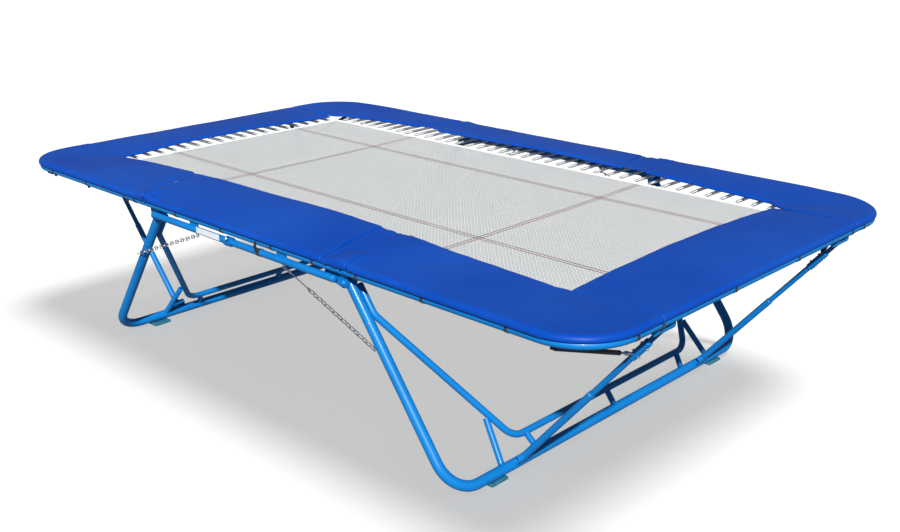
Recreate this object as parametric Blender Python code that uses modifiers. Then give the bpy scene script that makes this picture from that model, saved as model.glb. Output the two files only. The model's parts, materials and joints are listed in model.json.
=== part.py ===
"""Folding competition trampoline: a middle section with two hinged end sections, on two folding leg frames.

Metres, +Z up. The origin is on the floor under the middle of the bed. +X is the long axis (towards the
right end), -Y is the near long side. "left"/"right" name the two ends, "near"/"far" the two long sides.
"""

import math

import bmesh
import bpy
from mathutils import Matrix, Vector

# ---------------------------------------------------------------- driving dimensions

# Frame
END_X = 2.575            # centre line of the end rails
SIDE_Y = 1.452           # centre line of the side rails
RAIL_Z = 1.126           # height of the upper rails, and of the bed
RAIL_R = 0.021
CORNER_R = 0.30          # bend of the end rails, at the centre line
LOW_RAIL_Z = 1.063       # height of the lower side rails of the middle section
LOW_RAIL_X = 0.885       # half length of the lower side rails
SPACER_X = 0.43          # spacer plates between upper and lower side rail
SPACER_LENGTH = 0.085
SPACER_T = 0.010
ROLLER_X = -0.069        # clamp for a transport roller, on each lower rail
ROLLER_R = 0.0285
NAME_X = -0.257          # blank plate on the near lower rail
NAME_SIZE = (0.235, 0.002, 0.036)

# Frame hinges, one at each corner of the middle section
HINGE_X = 0.950
HINGE_Z = 1.174          # just above the pads, so that the ends fold flat onto the middle
HINGE_EYE_R = 0.013
HINGE_PIN_R = 0.0062
HINGE_BORE_R = 0.0068
BOLT_R = 0.0115          # head and nut
BOLT_HEAD = 0.006
RAIL_BREAK = 0.010       # half the gap between the rails at a hinge

# Corner plates that carry the frame hinges and the leg pivots
PLATE_T = 0.008
PLATE_Y = 1.4262         # middle of the plate's thickness
LUG_Y = (1.4307, 1.4650)  # hinge lug on the end rail, from its inner to its outer face

# Leg frames: everything lies in one slanted plane through the pivot and the bottom bar
LEG_TOP = (0.925, 1.045)     # x, z of the pivot
LEG_BAR = (1.668, 0.050)     # x, z of the bottom bar
LEG_Y = 1.388
LEG_R = 0.030
LEG_BEND = 0.19
INNER_R = 0.020
INNER_KINK = (1.3374, 1.03)  # y, and distance up the leg plane from the bottom bar
INNER_CORNER = (0.835, 0.125)
INNER_TOP = 1.215
INNER_BEND = 0.13
STRUT_R = 0.018
STRUTS = (                   # (y, up) on the inner frame, y on the bottom bar
    ((0.955, 0.285), 1.005),
    ((0.740, 0.125), 0.710),
    ((0.0, 0.125), 0.0),
)
PIVOT_R = 0.010
PIVOT_PLAY = 0.0006
FOOT_SIZE = (0.09, 0.13)     # the foot pads reach up to the bottom bar
FOOT_X, FOOT_Y = 1.655, 1.06

# Braces from the end rails down to the bottom bars
BRACE_Y = 0.88
BRACE_TOP = (2.545, 1.072)   # x, z of the brace hinge
BRACE_LOW_R = 0.020
BRACE_UP_R = 0.016
BRACE_STEP = 0.607           # distances down the brace from its hinge
BRACE_CLAMP = (0.112, 0.254)
BRACE_CLAMP_R = 0.0212
FOOT_SLEEVE_R = 0.021
FOOT_SLEEVE_BORE = 0.0155
FOOT_SLEEVE_LENGTH = 0.11
BARREL_R = 0.0165
BARREL_HALF = 0.029          # half length of the brace's own barrel
BARREL_LUG = 0.048           # length of each barrel on the end rail
BARREL_BORE = 0.0085
AXLE_R = 0.008
WEB_IN = 0.016               # the web from barrel to rail stands this far outside the barrel's axis

# Gas springs between the end rails and the brace clamps
GAS_TOP = (2.330, 1.420, 1.085)
GAS_GRIP = 0.210             # distance down the brace from its hinge
GAS_R = 0.0125
GAS_ROD_R = 0.005
GAS_CYLINDER = (0.012, 0.425)    # start and end along the spring
GAS_BORE_R = 0.0062
GAS_BORE_START = 0.23
GAS_ROD_START = 0.30
GAS_END_GAP = 0.010          # play at the open ball joint on the brace
GAS_STUD_R = 0.006

# Chains that hold the leg frames open
CHAIN_RAIL = (0.42, 1.022)   # x, z below the lower rail
CHAIN_LEG = (1.150, 0.744)   # x, z on the leg
CHAIN_Y = 1.4378
CHAIN_R = 0.007
CHAIN_EYE_R = 0.008          # stud of the eye on the leg

# Bed and springs
BED_X, BED_Y = 2.055, 1.010  # half size of the bed
BED_T = 0.004
SPRING_PITCH = 0.105
SPRING_D = 0.022
SPRING_SIDE_END = 1.4215     # the side springs stop here, the end springs at END_SPRING_END
SPRING_BAND = 0.014          # webbing loops along the bed's hem, which hold the springs
SECTION_GAP = 0.008          # from the hinge line to the bed and springs of each section

# Pads
PAD_Z = (1.150, 1.172)
PAD_OUT = 0.026              # overhang outside the rail's centre line
PAD_IN_Y = 1.020
PAD_IN_X = 2.090
PAD_MIDDLE_X = 0.915
PAD_END_X = 1.045
PAD_SEAM = 0.002

GAP = 0.0004                 # between pieces that touch
END_SPRING_END = END_X - RAIL_R - 0.001
COLLECTION = "trampoline"

SIDES = {"near": -1, "far": 1}
ENDS = {"left": -1, "right": 1}


# ---------------------------------------------------------------- scene and materials

def clear_scene():
    for thing in list(bpy.data.objects):
        bpy.data.objects.remove(thing)


def material(name, color, metallic, roughness):
    made = bpy.data.materials.new(name)
    made.use_nodes = True
    shader = made.node_tree.nodes["Principled BSDF"]
    shader.inputs["Base Color"].default_value = (*color, 1.0)
    shader.inputs["Metallic"].default_value = metallic
    shader.inputs["Roughness"].default_value = roughness
    return made


def make_materials():
    return {
        "blue_paint": material("blue_paint", (0.01, 0.20, 0.62), 0.0, 0.35),
        "blue_vinyl": material("blue_vinyl", (0.02, 0.07, 0.50), 0.0, 0.45),
        "zinc": material("zinc", (0.62, 0.63, 0.65), 1.0, 0.35),
        "dark_paint": material("dark_paint", (0.05, 0.055, 0.065), 0.0, 0.35),
        "chrome": material("chrome", (0.8, 0.8, 0.82), 1.0, 0.12),
        "rubber": material("rubber", (0.10, 0.13, 0.15), 0.0, 0.8),
        "bed_web": material("bed_web", (0.78, 0.79, 0.80), 0.0, 0.7),
        "label": material("label", (0.85, 0.87, 0.90), 0.0, 0.4),
    }


def finish_node(thing, name, slot):
    """Names an object, gives it its material, and leaves it as a node of the collection."""
    thing.name = name
    thing.data.name = name
    thing.data.materials.clear()
    thing.data.materials.append(MATERIALS[slot])
    if thing.type == "MESH":
        thing.data.shade_smooth()
        thing.data.set_sharp_from_angle(angle=math.radians(35))
    return thing


def body(name, origin):
    """An empty on a joint's axis, which carries the pieces of one moving body."""
    empty = bpy.data.objects.new(name, None)
    PARTS.objects.link(empty)
    empty.location = origin
    bpy.context.view_layer.update()
    return empty


def carry(empty, pieces):
    for piece in pieces:
        piece.parent = empty
        piece.matrix_parent_inverse = empty.matrix_world.inverted()


# ---------------------------------------------------------------- modelling tools

def tube(points, radius, resolution=4):
    """A round bar along a list of points, with closed ends."""
    data = bpy.data.curves.new("tube", "CURVE")
    data.dimensions = "3D"
    data.bevel_depth = radius
    data.bevel_resolution = resolution
    data.use_fill_caps = True
    spline = data.splines.new("POLY")
    spline.points.add(len(points) - 1)
    for point, place in zip(spline.points, points):
        point.co = (*place, 1.0)
    made = bpy.data.objects.new("tube", data)
    PARTS.objects.link(made)
    return made


def plate(outline, thickness, centre, upright=False):
    """A flat plate from a closed outline.

    A level plate has its outline in X and Y; an upright one has it in X and Z, with its thickness along Y.
    """
    data = bpy.data.curves.new("plate", "CURVE")
    data.dimensions = "2D"
    data.fill_mode = "BOTH"
    data.extrude = thickness / 2
    spline = data.splines.new("POLY")
    spline.points.add(len(outline) - 1)
    for point, (u, v) in zip(spline.points, outline):
        point.co = (u, v, 0.0, 1.0)
    spline.use_cyclic_u = True
    made = bpy.data.objects.new("plate", data)
    PARTS.objects.link(made)
    if upright:
        made.rotation_euler = (math.pi / 2, 0, 0)
        made.location = (0, centre, 0)
    else:
        made.location = (0, 0, centre)
    return made


def box(size, centre, turn_y=0.0):
    bpy.ops.mesh.primitive_cube_add(size=1.0, location=centre, rotation=(0, turn_y, 0))
    made = bpy.context.active_object
    for holder in list(made.users_collection):
        holder.objects.unlink(made)
    PARTS.objects.link(made)
    made.data.transform(Matrix.Diagonal((*size, 1.0)))
    return made


def as_mesh(thing):
    """The object's final shape as a welded mesh, in place of the object."""
    bpy.context.view_layer.update()
    graph = bpy.context.evaluated_depsgraph_get()
    mesh = bpy.data.meshes.new_from_object(thing.evaluated_get(graph))
    mesh.transform(thing.matrix_world)
    shape = bmesh.new()
    shape.from_mesh(mesh)
    bmesh.ops.remove_doubles(shape, verts=shape.verts, dist=0.00002)
    bmesh.ops.recalc_face_normals(shape, faces=shape.faces)
    shape.to_mesh(mesh)
    shape.free()
    made = bpy.data.objects.new("mesh", mesh)
    PARTS.objects.link(made)
    bpy.data.objects.remove(thing)
    return made


def combine(base, others, operation):
    """One mesh from a Boolean of meshes; the others are used up."""
    for other in others:
        step = base.modifiers.new("boolean", "BOOLEAN")
        step.operation = operation
        step.object = other
    made = as_mesh(base)
    for other in others:
        bpy.data.objects.remove(other)
    return made


def fuse(pieces):
    pieces = [as_mesh(piece) for piece in pieces]
    return combine(pieces[0], pieces[1:], "UNION")


def cut(base, cutters):
    return combine(as_mesh(base), [as_mesh(cutter) for cutter in cutters], "DIFFERENCE")


def turned(profile):
    """A solid turned about Z from (radius, height) points that run from its top to its bottom."""
    mesh = bpy.data.meshes.new("turned")
    shape = bmesh.new()
    corners = [shape.verts.new((radius, 0, height)) for radius, height in profile]
    for first, second in zip(corners, corners[1:]):
        shape.edges.new((first, second))
    shape.to_mesh(mesh)
    shape.free()
    made = bpy.data.objects.new("turned", mesh)
    PARTS.objects.link(made)
    spin = made.modifiers.new("turn", "SCREW")
    spin.steps = 12
    spin.render_steps = 12
    spin.use_merge_vertices = True
    spin.merge_threshold = 0.00005
    return made


def circle(centre, radius, steps=12):
    turn = 2 * math.pi / steps
    return [
        (centre[0] + radius * math.cos(turn * i), centre[1] + radius * math.sin(turn * i))
        for i in range(steps)
    ]


def hull(circles):
    """The outline of a belt stretched round circles given as (x, y, radius)."""
    points = sorted(p for x, y, radius in circles for p in circle((x, y), radius, 16))

    def chain(ordered):
        kept = []
        for p in ordered:
            while len(kept) > 1 and turns_right(kept[-2], kept[-1], p):
                kept.pop()
            kept.append(p)
        return kept[:-1]

    return chain(points) + chain(reversed(points))


def turns_right(a, b, c):
    return (b[0] - a[0]) * (c[1] - a[1]) - (b[1] - a[1]) * (c[0] - a[0]) <= 1e-9


def arc(centre, across, along, radius, sweep, steps):
    """Points of an arc in the plane of two unit vectors, the same angle to both sides of the first one."""
    points = []
    for i in range(steps + 1):
        angle = sweep * (2 * i / steps - 1)
        points.append(centre + across * (radius * math.cos(angle)) + along * (radius * math.sin(angle)))
    return points


def bend(before, corner, after, radius, steps=7):
    """Points that round off the corner of a path with a tangent arc."""
    back = (before - corner).normalized()
    ahead = (after - corner).normalized()
    half = back.angle(ahead) / 2
    middle = corner + (back + ahead).normalized() * (radius / math.sin(half))
    outward = (corner - middle).normalized()
    sideways = (ahead - ahead.project(outward)).normalized()
    return arc(middle, outward, sideways, radius, math.pi / 2 - half, steps)


# ---------------------------------------------------------------- middle section

def upper_rail(side, y):
    half = HINGE_X - RAIL_BREAK
    rail = tube([(-half, y, RAIL_Z), (half, y, RAIL_Z)], RAIL_R)
    return finish_node(rail, f"upper_rail_{side}", "blue_paint")


def lower_rail(side, y):
    """The lower side rail with its two spacer plates and the two eyes for the chains."""
    outward = math.copysign(1, y)
    pieces = [tube([(-LOW_RAIL_X, y, LOW_RAIL_Z), (LOW_RAIL_X, y, LOW_RAIL_Z)], RAIL_R)]
    top = RAIL_Z - RAIL_R - GAP
    for x in (-SPACER_X, SPACER_X):
        pieces.append(box((SPACER_LENGTH, SPACER_T, top - LOW_RAIL_Z), (x, y, (top + LOW_RAIL_Z) / 2)))
    eye_low = CHAIN_RAIL[1] + CHAIN_R + GAP
    eye_y = outward * (CHAIN_Y + 0.004)
    for x in (-CHAIN_RAIL[0], CHAIN_RAIL[0]):
        pieces.append(box((0.022, 0.006, LOW_RAIL_Z - eye_low), (x, eye_y, (LOW_RAIL_Z + eye_low) / 2)))
    return finish_node(fuse(pieces), f"lower_rail_{side}", "blue_paint")


def corner_plate(end, side, s, y):
    """Holds the ends of both side rails, the frame hinge pin and the leg pivot."""
    x, z = s * LEG_TOP[0], LEG_TOP[1]
    lower = hull([
        (x, z, 0.030),
        (s * 0.80, 1.072, 0.028),
        (s * 0.80, RAIL_Z - 0.004, 0.012),
        (s * 0.94, RAIL_Z, 0.016),
    ])
    ear = hull([(s * HINGE_X, HINGE_Z, HINGE_EYE_R), (s * HINGE_X, RAIL_Z, HINGE_EYE_R)])
    outward = math.copysign(1, y)
    middle = outward * PLATE_Y
    spigot_in = outward * (LEG_Y + LEG_R - 0.030)
    spigot = tube([(x, middle, z), (x, spigot_in, z)], PIVOT_R)
    made = fuse([plate(lower, PLATE_T, middle, True), plate(ear, PLATE_T, middle, True), spigot])
    hole = tube(
        [(s * HINGE_X, middle - 0.02, HINGE_Z), (s * HINGE_X, middle + 0.02, HINGE_Z)], HINGE_BORE_R
    )
    return finish_node(cut(made, [hole]), f"corner_plate_{end}_{side}", "blue_paint")


def hinge_pin(end, side, s, y):
    """The frame hinge's bolt: a head outside the lug, a shank, and a nut inside the corner plate."""
    outward = math.copysign(1, y)
    inner = PLATE_Y - PLATE_T / 2 - GAP
    outer = LUG_Y[1] + GAP
    length = outer - inner + 2 * BOLT_HEAD
    pin = turned([
        (0, length),
        (BOLT_R, length),
        (BOLT_R, length - BOLT_HEAD),
        (HINGE_PIN_R, length - BOLT_HEAD),
        (HINGE_PIN_R, BOLT_HEAD),
        (BOLT_R, BOLT_HEAD),
        (BOLT_R, 0),
        (0, 0),
    ])
    pin.rotation_euler = (-outward * math.pi / 2, 0, 0)
    pin.location = (s * HINGE_X, outward * (inner - BOLT_HEAD), HINGE_Z)
    return finish_node(pin, f"hinge_pin_{end}_{side}", "zinc")


def roller_bracket(side, y):
    """The clamp on the lower rail that takes a transport roller: a split ring with a slanted socket."""
    x, z = ROLLER_X, LOW_RAIL_Z
    outward = math.copysign(1, y)
    half = 0.026
    ring = tube([(x - half, y, z), (x + half, y, z)], ROLLER_R)
    socket = tube([(x - 0.012, y, z + 0.018), (x + 0.020, y + outward * 0.036, z + 0.030)], 0.011)
    hole = tube([(x - 2 * half, y, z), (x + 2 * half, y, z)], RAIL_R / math.cos(math.pi / 12) + GAP)
    rail_low = RAIL_Z - RAIL_R - 2 * GAP
    above = box((0.2, 0.2, 0.1), (x, y, rail_low + 0.05))
    return finish_node(cut(fuse([ring, socket]), [hole, above]), f"roller_bracket_{side}", "blue_paint")


def name_plate():
    """A blank plate on the near lower rail."""
    y = -(SIDE_Y + RAIL_R + GAP + NAME_SIZE[1] / 2)
    return finish_node(box(NAME_SIZE, (NAME_X, y, LOW_RAIL_Z + 0.012)), "name_plate", "label")


def level_slab(low, high, z_range):
    outline = [(low[0], low[1]), (high[0], low[1]), (high[0], high[1]), (low[0], high[1])]
    return plate(outline, z_range[1] - z_range[0], sum(z_range) / 2)


def comb_outline(corners, reaches):
    """Outline of the hem's webbing with one tooth for each spring, along an open path of bed corners.

    The path runs with the outside of the bed on its right. reaches gives each run's distance to the frame.
    """
    corners = [Vector(c) for c in corners]
    runs = list(zip(corners, corners[1:]))
    outs = []
    for first, second in runs:
        way = (second - first).normalized()
        outs.append(Vector((way.y, -way.x)))
    outer = []
    for (first, second), out, reach, number in zip(runs, outs, reaches, range(len(runs))):
        way = (second - first).normalized()
        length = (second - first).length
        count = int(length / SPRING_PITCH)
        start = first + out * SPRING_BAND
        if number == 0:
            outer.append(start)
        for i in range(count):
            middle = start + way * (length * (i + 0.5) / count)
            step = way * (SPRING_D / 2)
            reached = out * (reach - SPRING_BAND)
            outer += [middle - step, middle - step + reached, middle + step + reached, middle + step]
        end = second + out * SPRING_BAND
        if number + 1 < len(runs):
            end += outs[number + 1] * SPRING_BAND
        outer.append(end)
    inner = []
    for number, corner in reversed(list(enumerate(corners))):
        shift = outs[min(number, len(outs) - 1)] * GAP
        if 0 < number < len(corners) - 1:
            shift += outs[number - 1] * GAP
        inner.append(corner + shift)
    return [(p.x, p.y) for p in outer + inner]


def spring_row(name, corners, reaches):
    made = plate(comb_outline(corners, reaches), SPRING_D, RAIL_Z)
    return finish_node(made, name, "zinc")


def middle_section():
    half = HINGE_X - SECTION_GAP
    thickness = (RAIL_Z - BED_T / 2, RAIL_Z + BED_T / 2)
    bed = level_slab((-half, -BED_Y), (half, BED_Y), thickness)
    finish_node(bed, "bed_middle", "bed_web")
    name_plate()
    reach = SPRING_SIDE_END - BED_Y
    rows = {
        "near": [(-half, -BED_Y), (half, -BED_Y)],
        "far": [(half, BED_Y), (-half, BED_Y)],
    }
    for side, sign in SIDES.items():
        y = sign * SIDE_Y
        upper_rail(side, y)
        lower_rail(side, y)
        roller_bracket(side, y)
        spring_row(f"springs_middle_{side}", rows[side], [reach])
        edges = sorted((sign * PAD_IN_Y, sign * (SIDE_Y + PAD_OUT)))
        pad = level_slab((-PAD_MIDDLE_X, edges[0]), (PAD_MIDDLE_X, edges[1]), PAD_Z)
        finish_node(pad, f"pad_middle_{side}", "blue_vinyl")
        for end, s in ENDS.items():
            corner_plate(end, side, s, y)
            hinge_pin(end, side, s, y)


# ---------------------------------------------------------------- end sections

def end_rail(end, s):
    """The U-shaped end rail with its hinge lugs, brace barrels and gas-spring studs."""
    start = HINGE_X + RAIL_BREAK
    near, far = Vector((s * END_X, -SIDE_Y, RAIL_Z)), Vector((s * END_X, SIDE_Y, RAIL_Z))
    first, last = Vector((s * start, -SIDE_Y, RAIL_Z)), Vector((s * start, SIDE_Y, RAIL_Z))
    path = [first, *bend(first, near, far, CORNER_R), *bend(near, far, last, CORNER_R), last]
    pieces = [tube(path, RAIL_R)]
    bores = []
    lug_outline = hull([
        (s * HINGE_X, HINGE_Z, HINGE_EYE_R),
        (s * (start + 0.014), RAIL_Z + 0.006, 0.012),
        (s * (start + 0.075), RAIL_Z + 0.006, 0.012),
    ])
    for sign in SIDES.values():
        lug_y = sign * sum(LUG_Y) / 2
        pieces.append(plate(lug_outline, LUG_Y[1] - LUG_Y[0], lug_y, True))
        bore = [(s * HINGE_X, lug_y - 0.03, HINGE_Z), (s * HINGE_X, lug_y + 0.03, HINGE_Z)]
        bores.append(tube(bore, HINGE_BORE_R))
        x, z = s * BRACE_TOP[0], BRACE_TOP[1]
        for way in (-1, 1):
            inner = sign * BRACE_Y + way * (BARREL_HALF + GAP)
            outer = inner + way * BARREL_LUG
            pieces.append(tube([(x, inner, z), (x, outer, z)], BARREL_R))
            web = (0.012, abs(outer - inner) - 0.010, RAIL_Z - z)
            pieces.append(box(web, (s * (BRACE_TOP[0] + WEB_IN), (inner + outer) / 2, (RAIL_Z + z) / 2)))
        bores.append(tube([(x, sign * BRACE_Y - 0.1, z), (x, sign * BRACE_Y + 0.1, z)], BARREL_BORE))
        stud_x, stud_y = s * GAS_TOP[0], sign * GAS_TOP[1]
        stud_low = GAS_TOP[2] + GAS_R + GAP
        stud = [(stud_x, stud_y + sign * 0.012, RAIL_Z), (stud_x, stud_y, stud_low)]
        pieces.append(tube(stud, GAS_STUD_R, 2))
    return finish_node(cut(fuse(pieces), bores), f"end_rail_{end}", "blue_paint")


def side_pad_outline(s, sign):
    """A pad from the hinge to the corner, with its outer corner rounded like the rail."""
    outer_x, outer_y = END_X + PAD_OUT, SIDE_Y + PAD_OUT
    radius = CORNER_R + PAD_OUT
    centre = (outer_x - radius, outer_y - radius)
    points = [(PAD_END_X, outer_y)]
    steps = 8
    for i in range(steps + 1):
        angle = math.pi / 2 * (1 - i / steps)
        points.append((centre[0] + radius * math.cos(angle), centre[1] + radius * math.sin(angle)))
    points += [(outer_x, PAD_IN_Y), (PAD_END_X, PAD_IN_Y)]
    return [(s * x, sign * y) for x, y in points]


def end_section(end, s):
    empty = body(f"end_{end}", (s * HINGE_X, 0, HINGE_Z))
    inner = HINGE_X + SECTION_GAP
    thickness = (RAIL_Z - BED_T / 2, RAIL_Z + BED_T / 2)
    xs = sorted((s * inner, s * BED_X))
    bed = level_slab((xs[0], -BED_Y), (xs[1], BED_Y), thickness)
    path = [(s * inner, -s * BED_Y), (s * BED_X, -s * BED_Y), (s * BED_X, s * BED_Y), (s * inner, s * BED_Y)]
    side_reach, end_reach = SPRING_SIDE_END - BED_Y, END_SPRING_END - BED_X
    springs = spring_row(f"springs_{end}", path, [side_reach, end_reach, side_reach])
    xs = sorted((s * PAD_IN_X, s * (END_X + PAD_OUT)))
    half = PAD_IN_Y - PAD_SEAM
    end_pad = level_slab((xs[0], -half), (xs[1], half), PAD_Z)
    pieces = [
        end_rail(end, s),
        finish_node(bed, f"bed_{end}", "bed_web"),
        springs,
        finish_node(end_pad, f"pad_{end}_end", "blue_vinyl"),
    ]
    for side, sign in SIDES.items():
        pad = plate(side_pad_outline(s, sign), PAD_Z[1] - PAD_Z[0], sum(PAD_Z) / 2)
        pieces.append(finish_node(pad, f"pad_{end}_{side}", "blue_vinyl"))
    carry(empty, pieces)


# ---------------------------------------------------------------- leg frames

def leg_point(s, y, up):
    """A point of the leg plane: y across, and a distance up the plane from the bottom bar."""
    foot = Vector((s * LEG_BAR[0], y, LEG_BAR[1]))
    head = Vector((s * LEG_TOP[0], y, LEG_TOP[1]))
    return foot + (head - foot).normalized() * up


def leg_main(end, s):
    """The outer U with a bored boss at each pivot and an eye for each chain."""
    length = (Vector(LEG_TOP) - Vector(LEG_BAR)).length
    corners = [leg_point(s, y, up) for y, up in ((-LEG_Y, length), (-LEG_Y, 0), (LEG_Y, 0), (LEG_Y, length))]
    path = [corners[0], *bend(*corners[:3], LEG_BEND), *bend(*corners[1:], LEG_BEND), corners[3]]
    pieces = [tube(path, LEG_R)]
    bores = []
    x, z = s * LEG_TOP[0], LEG_TOP[1]
    for sign in SIDES.values():
        outer = sign * (PLATE_Y - PLATE_T / 2 - GAP)
        inner = sign * (LEG_Y - LEG_R)
        pieces.append(tube([(x, inner, z), (x, outer, z)], LEG_R + 0.001, 6))
        bores.append(tube([(x, inner - sign * 0.01, z), (x, outer + sign * 0.01, z)], PIVOT_R + PIVOT_PLAY))
        eye_x, eye_z = s * CHAIN_LEG[0], CHAIN_LEG[1]
        eye_end = sign * (CHAIN_Y - CHAIN_R - GAP)
        pieces.append(tube([(eye_x, sign * LEG_Y, eye_z), (eye_x, eye_end, eye_z)], CHAIN_EYE_R, 2))
    return finish_node(cut(fuse(pieces), bores), f"leg_frame_{end}", "blue_paint")


def leg_inner(end, s):
    """The narrower U inside the leg frame, with the struts down to the bottom bar."""
    half = [(INNER_KINK[0], INNER_TOP), INNER_KINK, INNER_CORNER]
    near = [leg_point(s, -y, up) for y, up in half]
    far = [leg_point(s, y, up) for y, up in reversed(half)]
    path = [
        near[0],
        *bend(*near, 0.10, 3),
        *bend(near[1], near[2], far[0], INNER_BEND, 5),
        *bend(near[2], far[0], far[1], INNER_BEND, 5),
        *bend(*far, 0.10, 3),
        far[2],
    ]
    pieces = [tube(path, INNER_R)]
    for (y_top, up_top), y_low in STRUTS:
        for sign in SIDES.values() if y_top else (1,):
            ends = [leg_point(s, sign * y_top, up_top), leg_point(s, sign * y_low, 0)]
            pieces.append(tube(ends, STRUT_R, 2))
    bar = tube([leg_point(s, -LEG_Y, 0), leg_point(s, LEG_Y, 0)], LEG_R / math.cos(math.pi / 12) + GAP)
    return finish_node(cut(fuse(pieces), [bar]), f"leg_inner_{end}", "blue_paint")


def foot_pad(end, side, s, sign):
    height = LEG_BAR[1] - LEG_R - GAP
    made = box((*FOOT_SIZE, height), (s * FOOT_X, sign * FOOT_Y, height / 2))
    edge = made.modifiers.new("edge", "BEVEL")
    edge.width = 0.003
    edge.segments = 1
    return finish_node(made, f"foot_pad_{end}_{side}", "rubber")


def leg_section(end, s):
    empty = body(f"leg_{end}", (s * LEG_TOP[0], 0, LEG_TOP[1]))
    pieces = [leg_main(end, s), leg_inner(end, s)]
    for side, sign in SIDES.items():
        pieces.append(foot_pad(end, side, s, sign))
    carry(empty, pieces)


# ---------------------------------------------------------------- braces and gas springs

def brace_line(s, y):
    """The brace's hinge, the middle of its foot sleeve, and the unit vector down the brace."""
    top = Vector((s * BRACE_TOP[0], y, BRACE_TOP[1]))
    bar = Vector((s * LEG_BAR[0], y, LEG_BAR[1]))
    down = (bar - top).normalized()
    foot = bar - down * (LEG_R + FOOT_SLEEVE_R + 0.0006)
    return top, foot, down


def brace(end, side, s, sign):
    """Lower tube with an open sleeve that sits on the bottom bar; upper tube, clamp, blade and barrel."""
    y = sign * BRACE_Y
    top, foot, down = brace_line(s, y)
    across = Vector((0, 1, 0))
    half = across * (FOOT_SLEEVE_LENGTH / 2)
    lower = fuse([
        tube([top + down * BRACE_STEP, foot], BRACE_LOW_R),
        tube([foot - half, foot + half], FOOT_SLEEVE_R),
    ])
    lower = cut(lower, [tube([foot - half * 1.2, foot + half * 1.2], FOOT_SLEEVE_BORE)])
    clamp_start, clamp_end = BRACE_CLAMP
    barrel = across * BARREL_HALF
    axle = across * (BARREL_HALF + BARREL_LUG * 0.9)
    tilt = math.atan2(down.x, down.z)
    blade = box((0.022, 0.024, clamp_start + 0.01), top + down * (clamp_start / 2), tilt)
    upper = fuse([
        tube([top + down * (clamp_start + 0.02), top + down * (BRACE_STEP - GAP)], BRACE_UP_R),
        tube([top + down * clamp_start, top + down * clamp_end], BRACE_CLAMP_R),
        blade,
        tube([top - barrel, top + barrel], BARREL_R),
        tube([top - axle, top + axle], AXLE_R),
    ])
    empty = body(f"brace_{end}_{side}", top)
    carry(empty, [
        finish_node(lower, f"brace_lower_{end}_{side}", "blue_paint"),
        finish_node(upper, f"brace_upper_{end}_{side}", "blue_paint"),
    ])


def gas_spring(end, side, s, sign):
    """Cylinder on the end rail's stud and a rod that reaches for the brace's clamp."""
    start = Vector((s * GAS_TOP[0], sign * GAS_TOP[1], GAS_TOP[2]))
    top, _, down = brace_line(s, sign * BRACE_Y)
    grip = top + down * GAS_GRIP + Vector((0, sign * BRACE_CLAMP_R, 0))
    way = (grip - start).normalized()
    length = (grip - start).length
    first, last = GAS_CYLINDER
    cylinder = turned([
        (0, GAS_BORE_START - 0.001),
        (GAS_BORE_R, GAS_BORE_START),
        (GAS_BORE_R, last),
        (GAS_R, last),
        (GAS_R, first),
        (GAS_R * 0.5, -first),
        (0, -first),
    ])
    rod_end = length - GAS_END_GAP
    rod = turned([
        (0, rod_end),
        (GAS_ROD_R * 0.8, rod_end),
        (GAS_ROD_R * 1.9, rod_end - 0.030),
        (GAS_ROD_R * 1.9, rod_end - 0.045),
        (GAS_ROD_R, rod_end - 0.050),
        (GAS_ROD_R, GAS_ROD_START),
        (0, GAS_ROD_START),
    ])
    for piece in (cylinder, rod):
        piece.rotation_mode = "QUATERNION"
        piece.rotation_quaternion = way.to_track_quat("Z", "X")
        piece.location = start
    carry(body(f"gas_cylinder_{end}_{side}_pivot", start), [
        finish_node(as_mesh(cylinder), f"gas_cylinder_{end}_{side}", "dark_paint"),
        finish_node(as_mesh(rod), f"gas_rod_{end}_{side}", "chrome"),
    ])


def chain(end, side, s, sign):
    """A chain from the lower rail's eye to the leg's eye, as one slim bar."""
    start = Vector((s * CHAIN_RAIL[0], sign * CHAIN_Y, CHAIN_RAIL[1]))
    stop = Vector((s * CHAIN_LEG[0], sign * CHAIN_Y, CHAIN_LEG[1]))
    made = tube([start, start.lerp(stop, 0.5), stop], CHAIN_R, 2)
    finish_node(made, f"chain_{end}_{side}", "zinc")
    carry(body(f"chain_{end}_{side}_pivot", start), [made])


# ---------------------------------------------------------------- the whole object

clear_scene()
PARTS = bpy.data.collections.new(COLLECTION)
bpy.context.scene.collection.children.link(PARTS)
MATERIALS = make_materials()

middle_section()
for end_name, end_sign in ENDS.items():
    end_section(end_name, end_sign)
    leg_section(end_name, end_sign)
    for side_name, side_sign in SIDES.items():
        brace(end_name, side_name, end_sign, side_sign)
        gas_spring(end_name, side_name, end_sign, side_sign)
        chain(end_name, side_name, end_sign, side_sign)
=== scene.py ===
"""The looks of the folding trampoline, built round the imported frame.

Metres, +Z up, in the frame's own coordinates: +X towards the right end, -Y is the near long side.
"""

import json
import math

import bmesh
import bpy
import numpy as np
from mathutils import Euler, Matrix, Vector, noise


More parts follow.
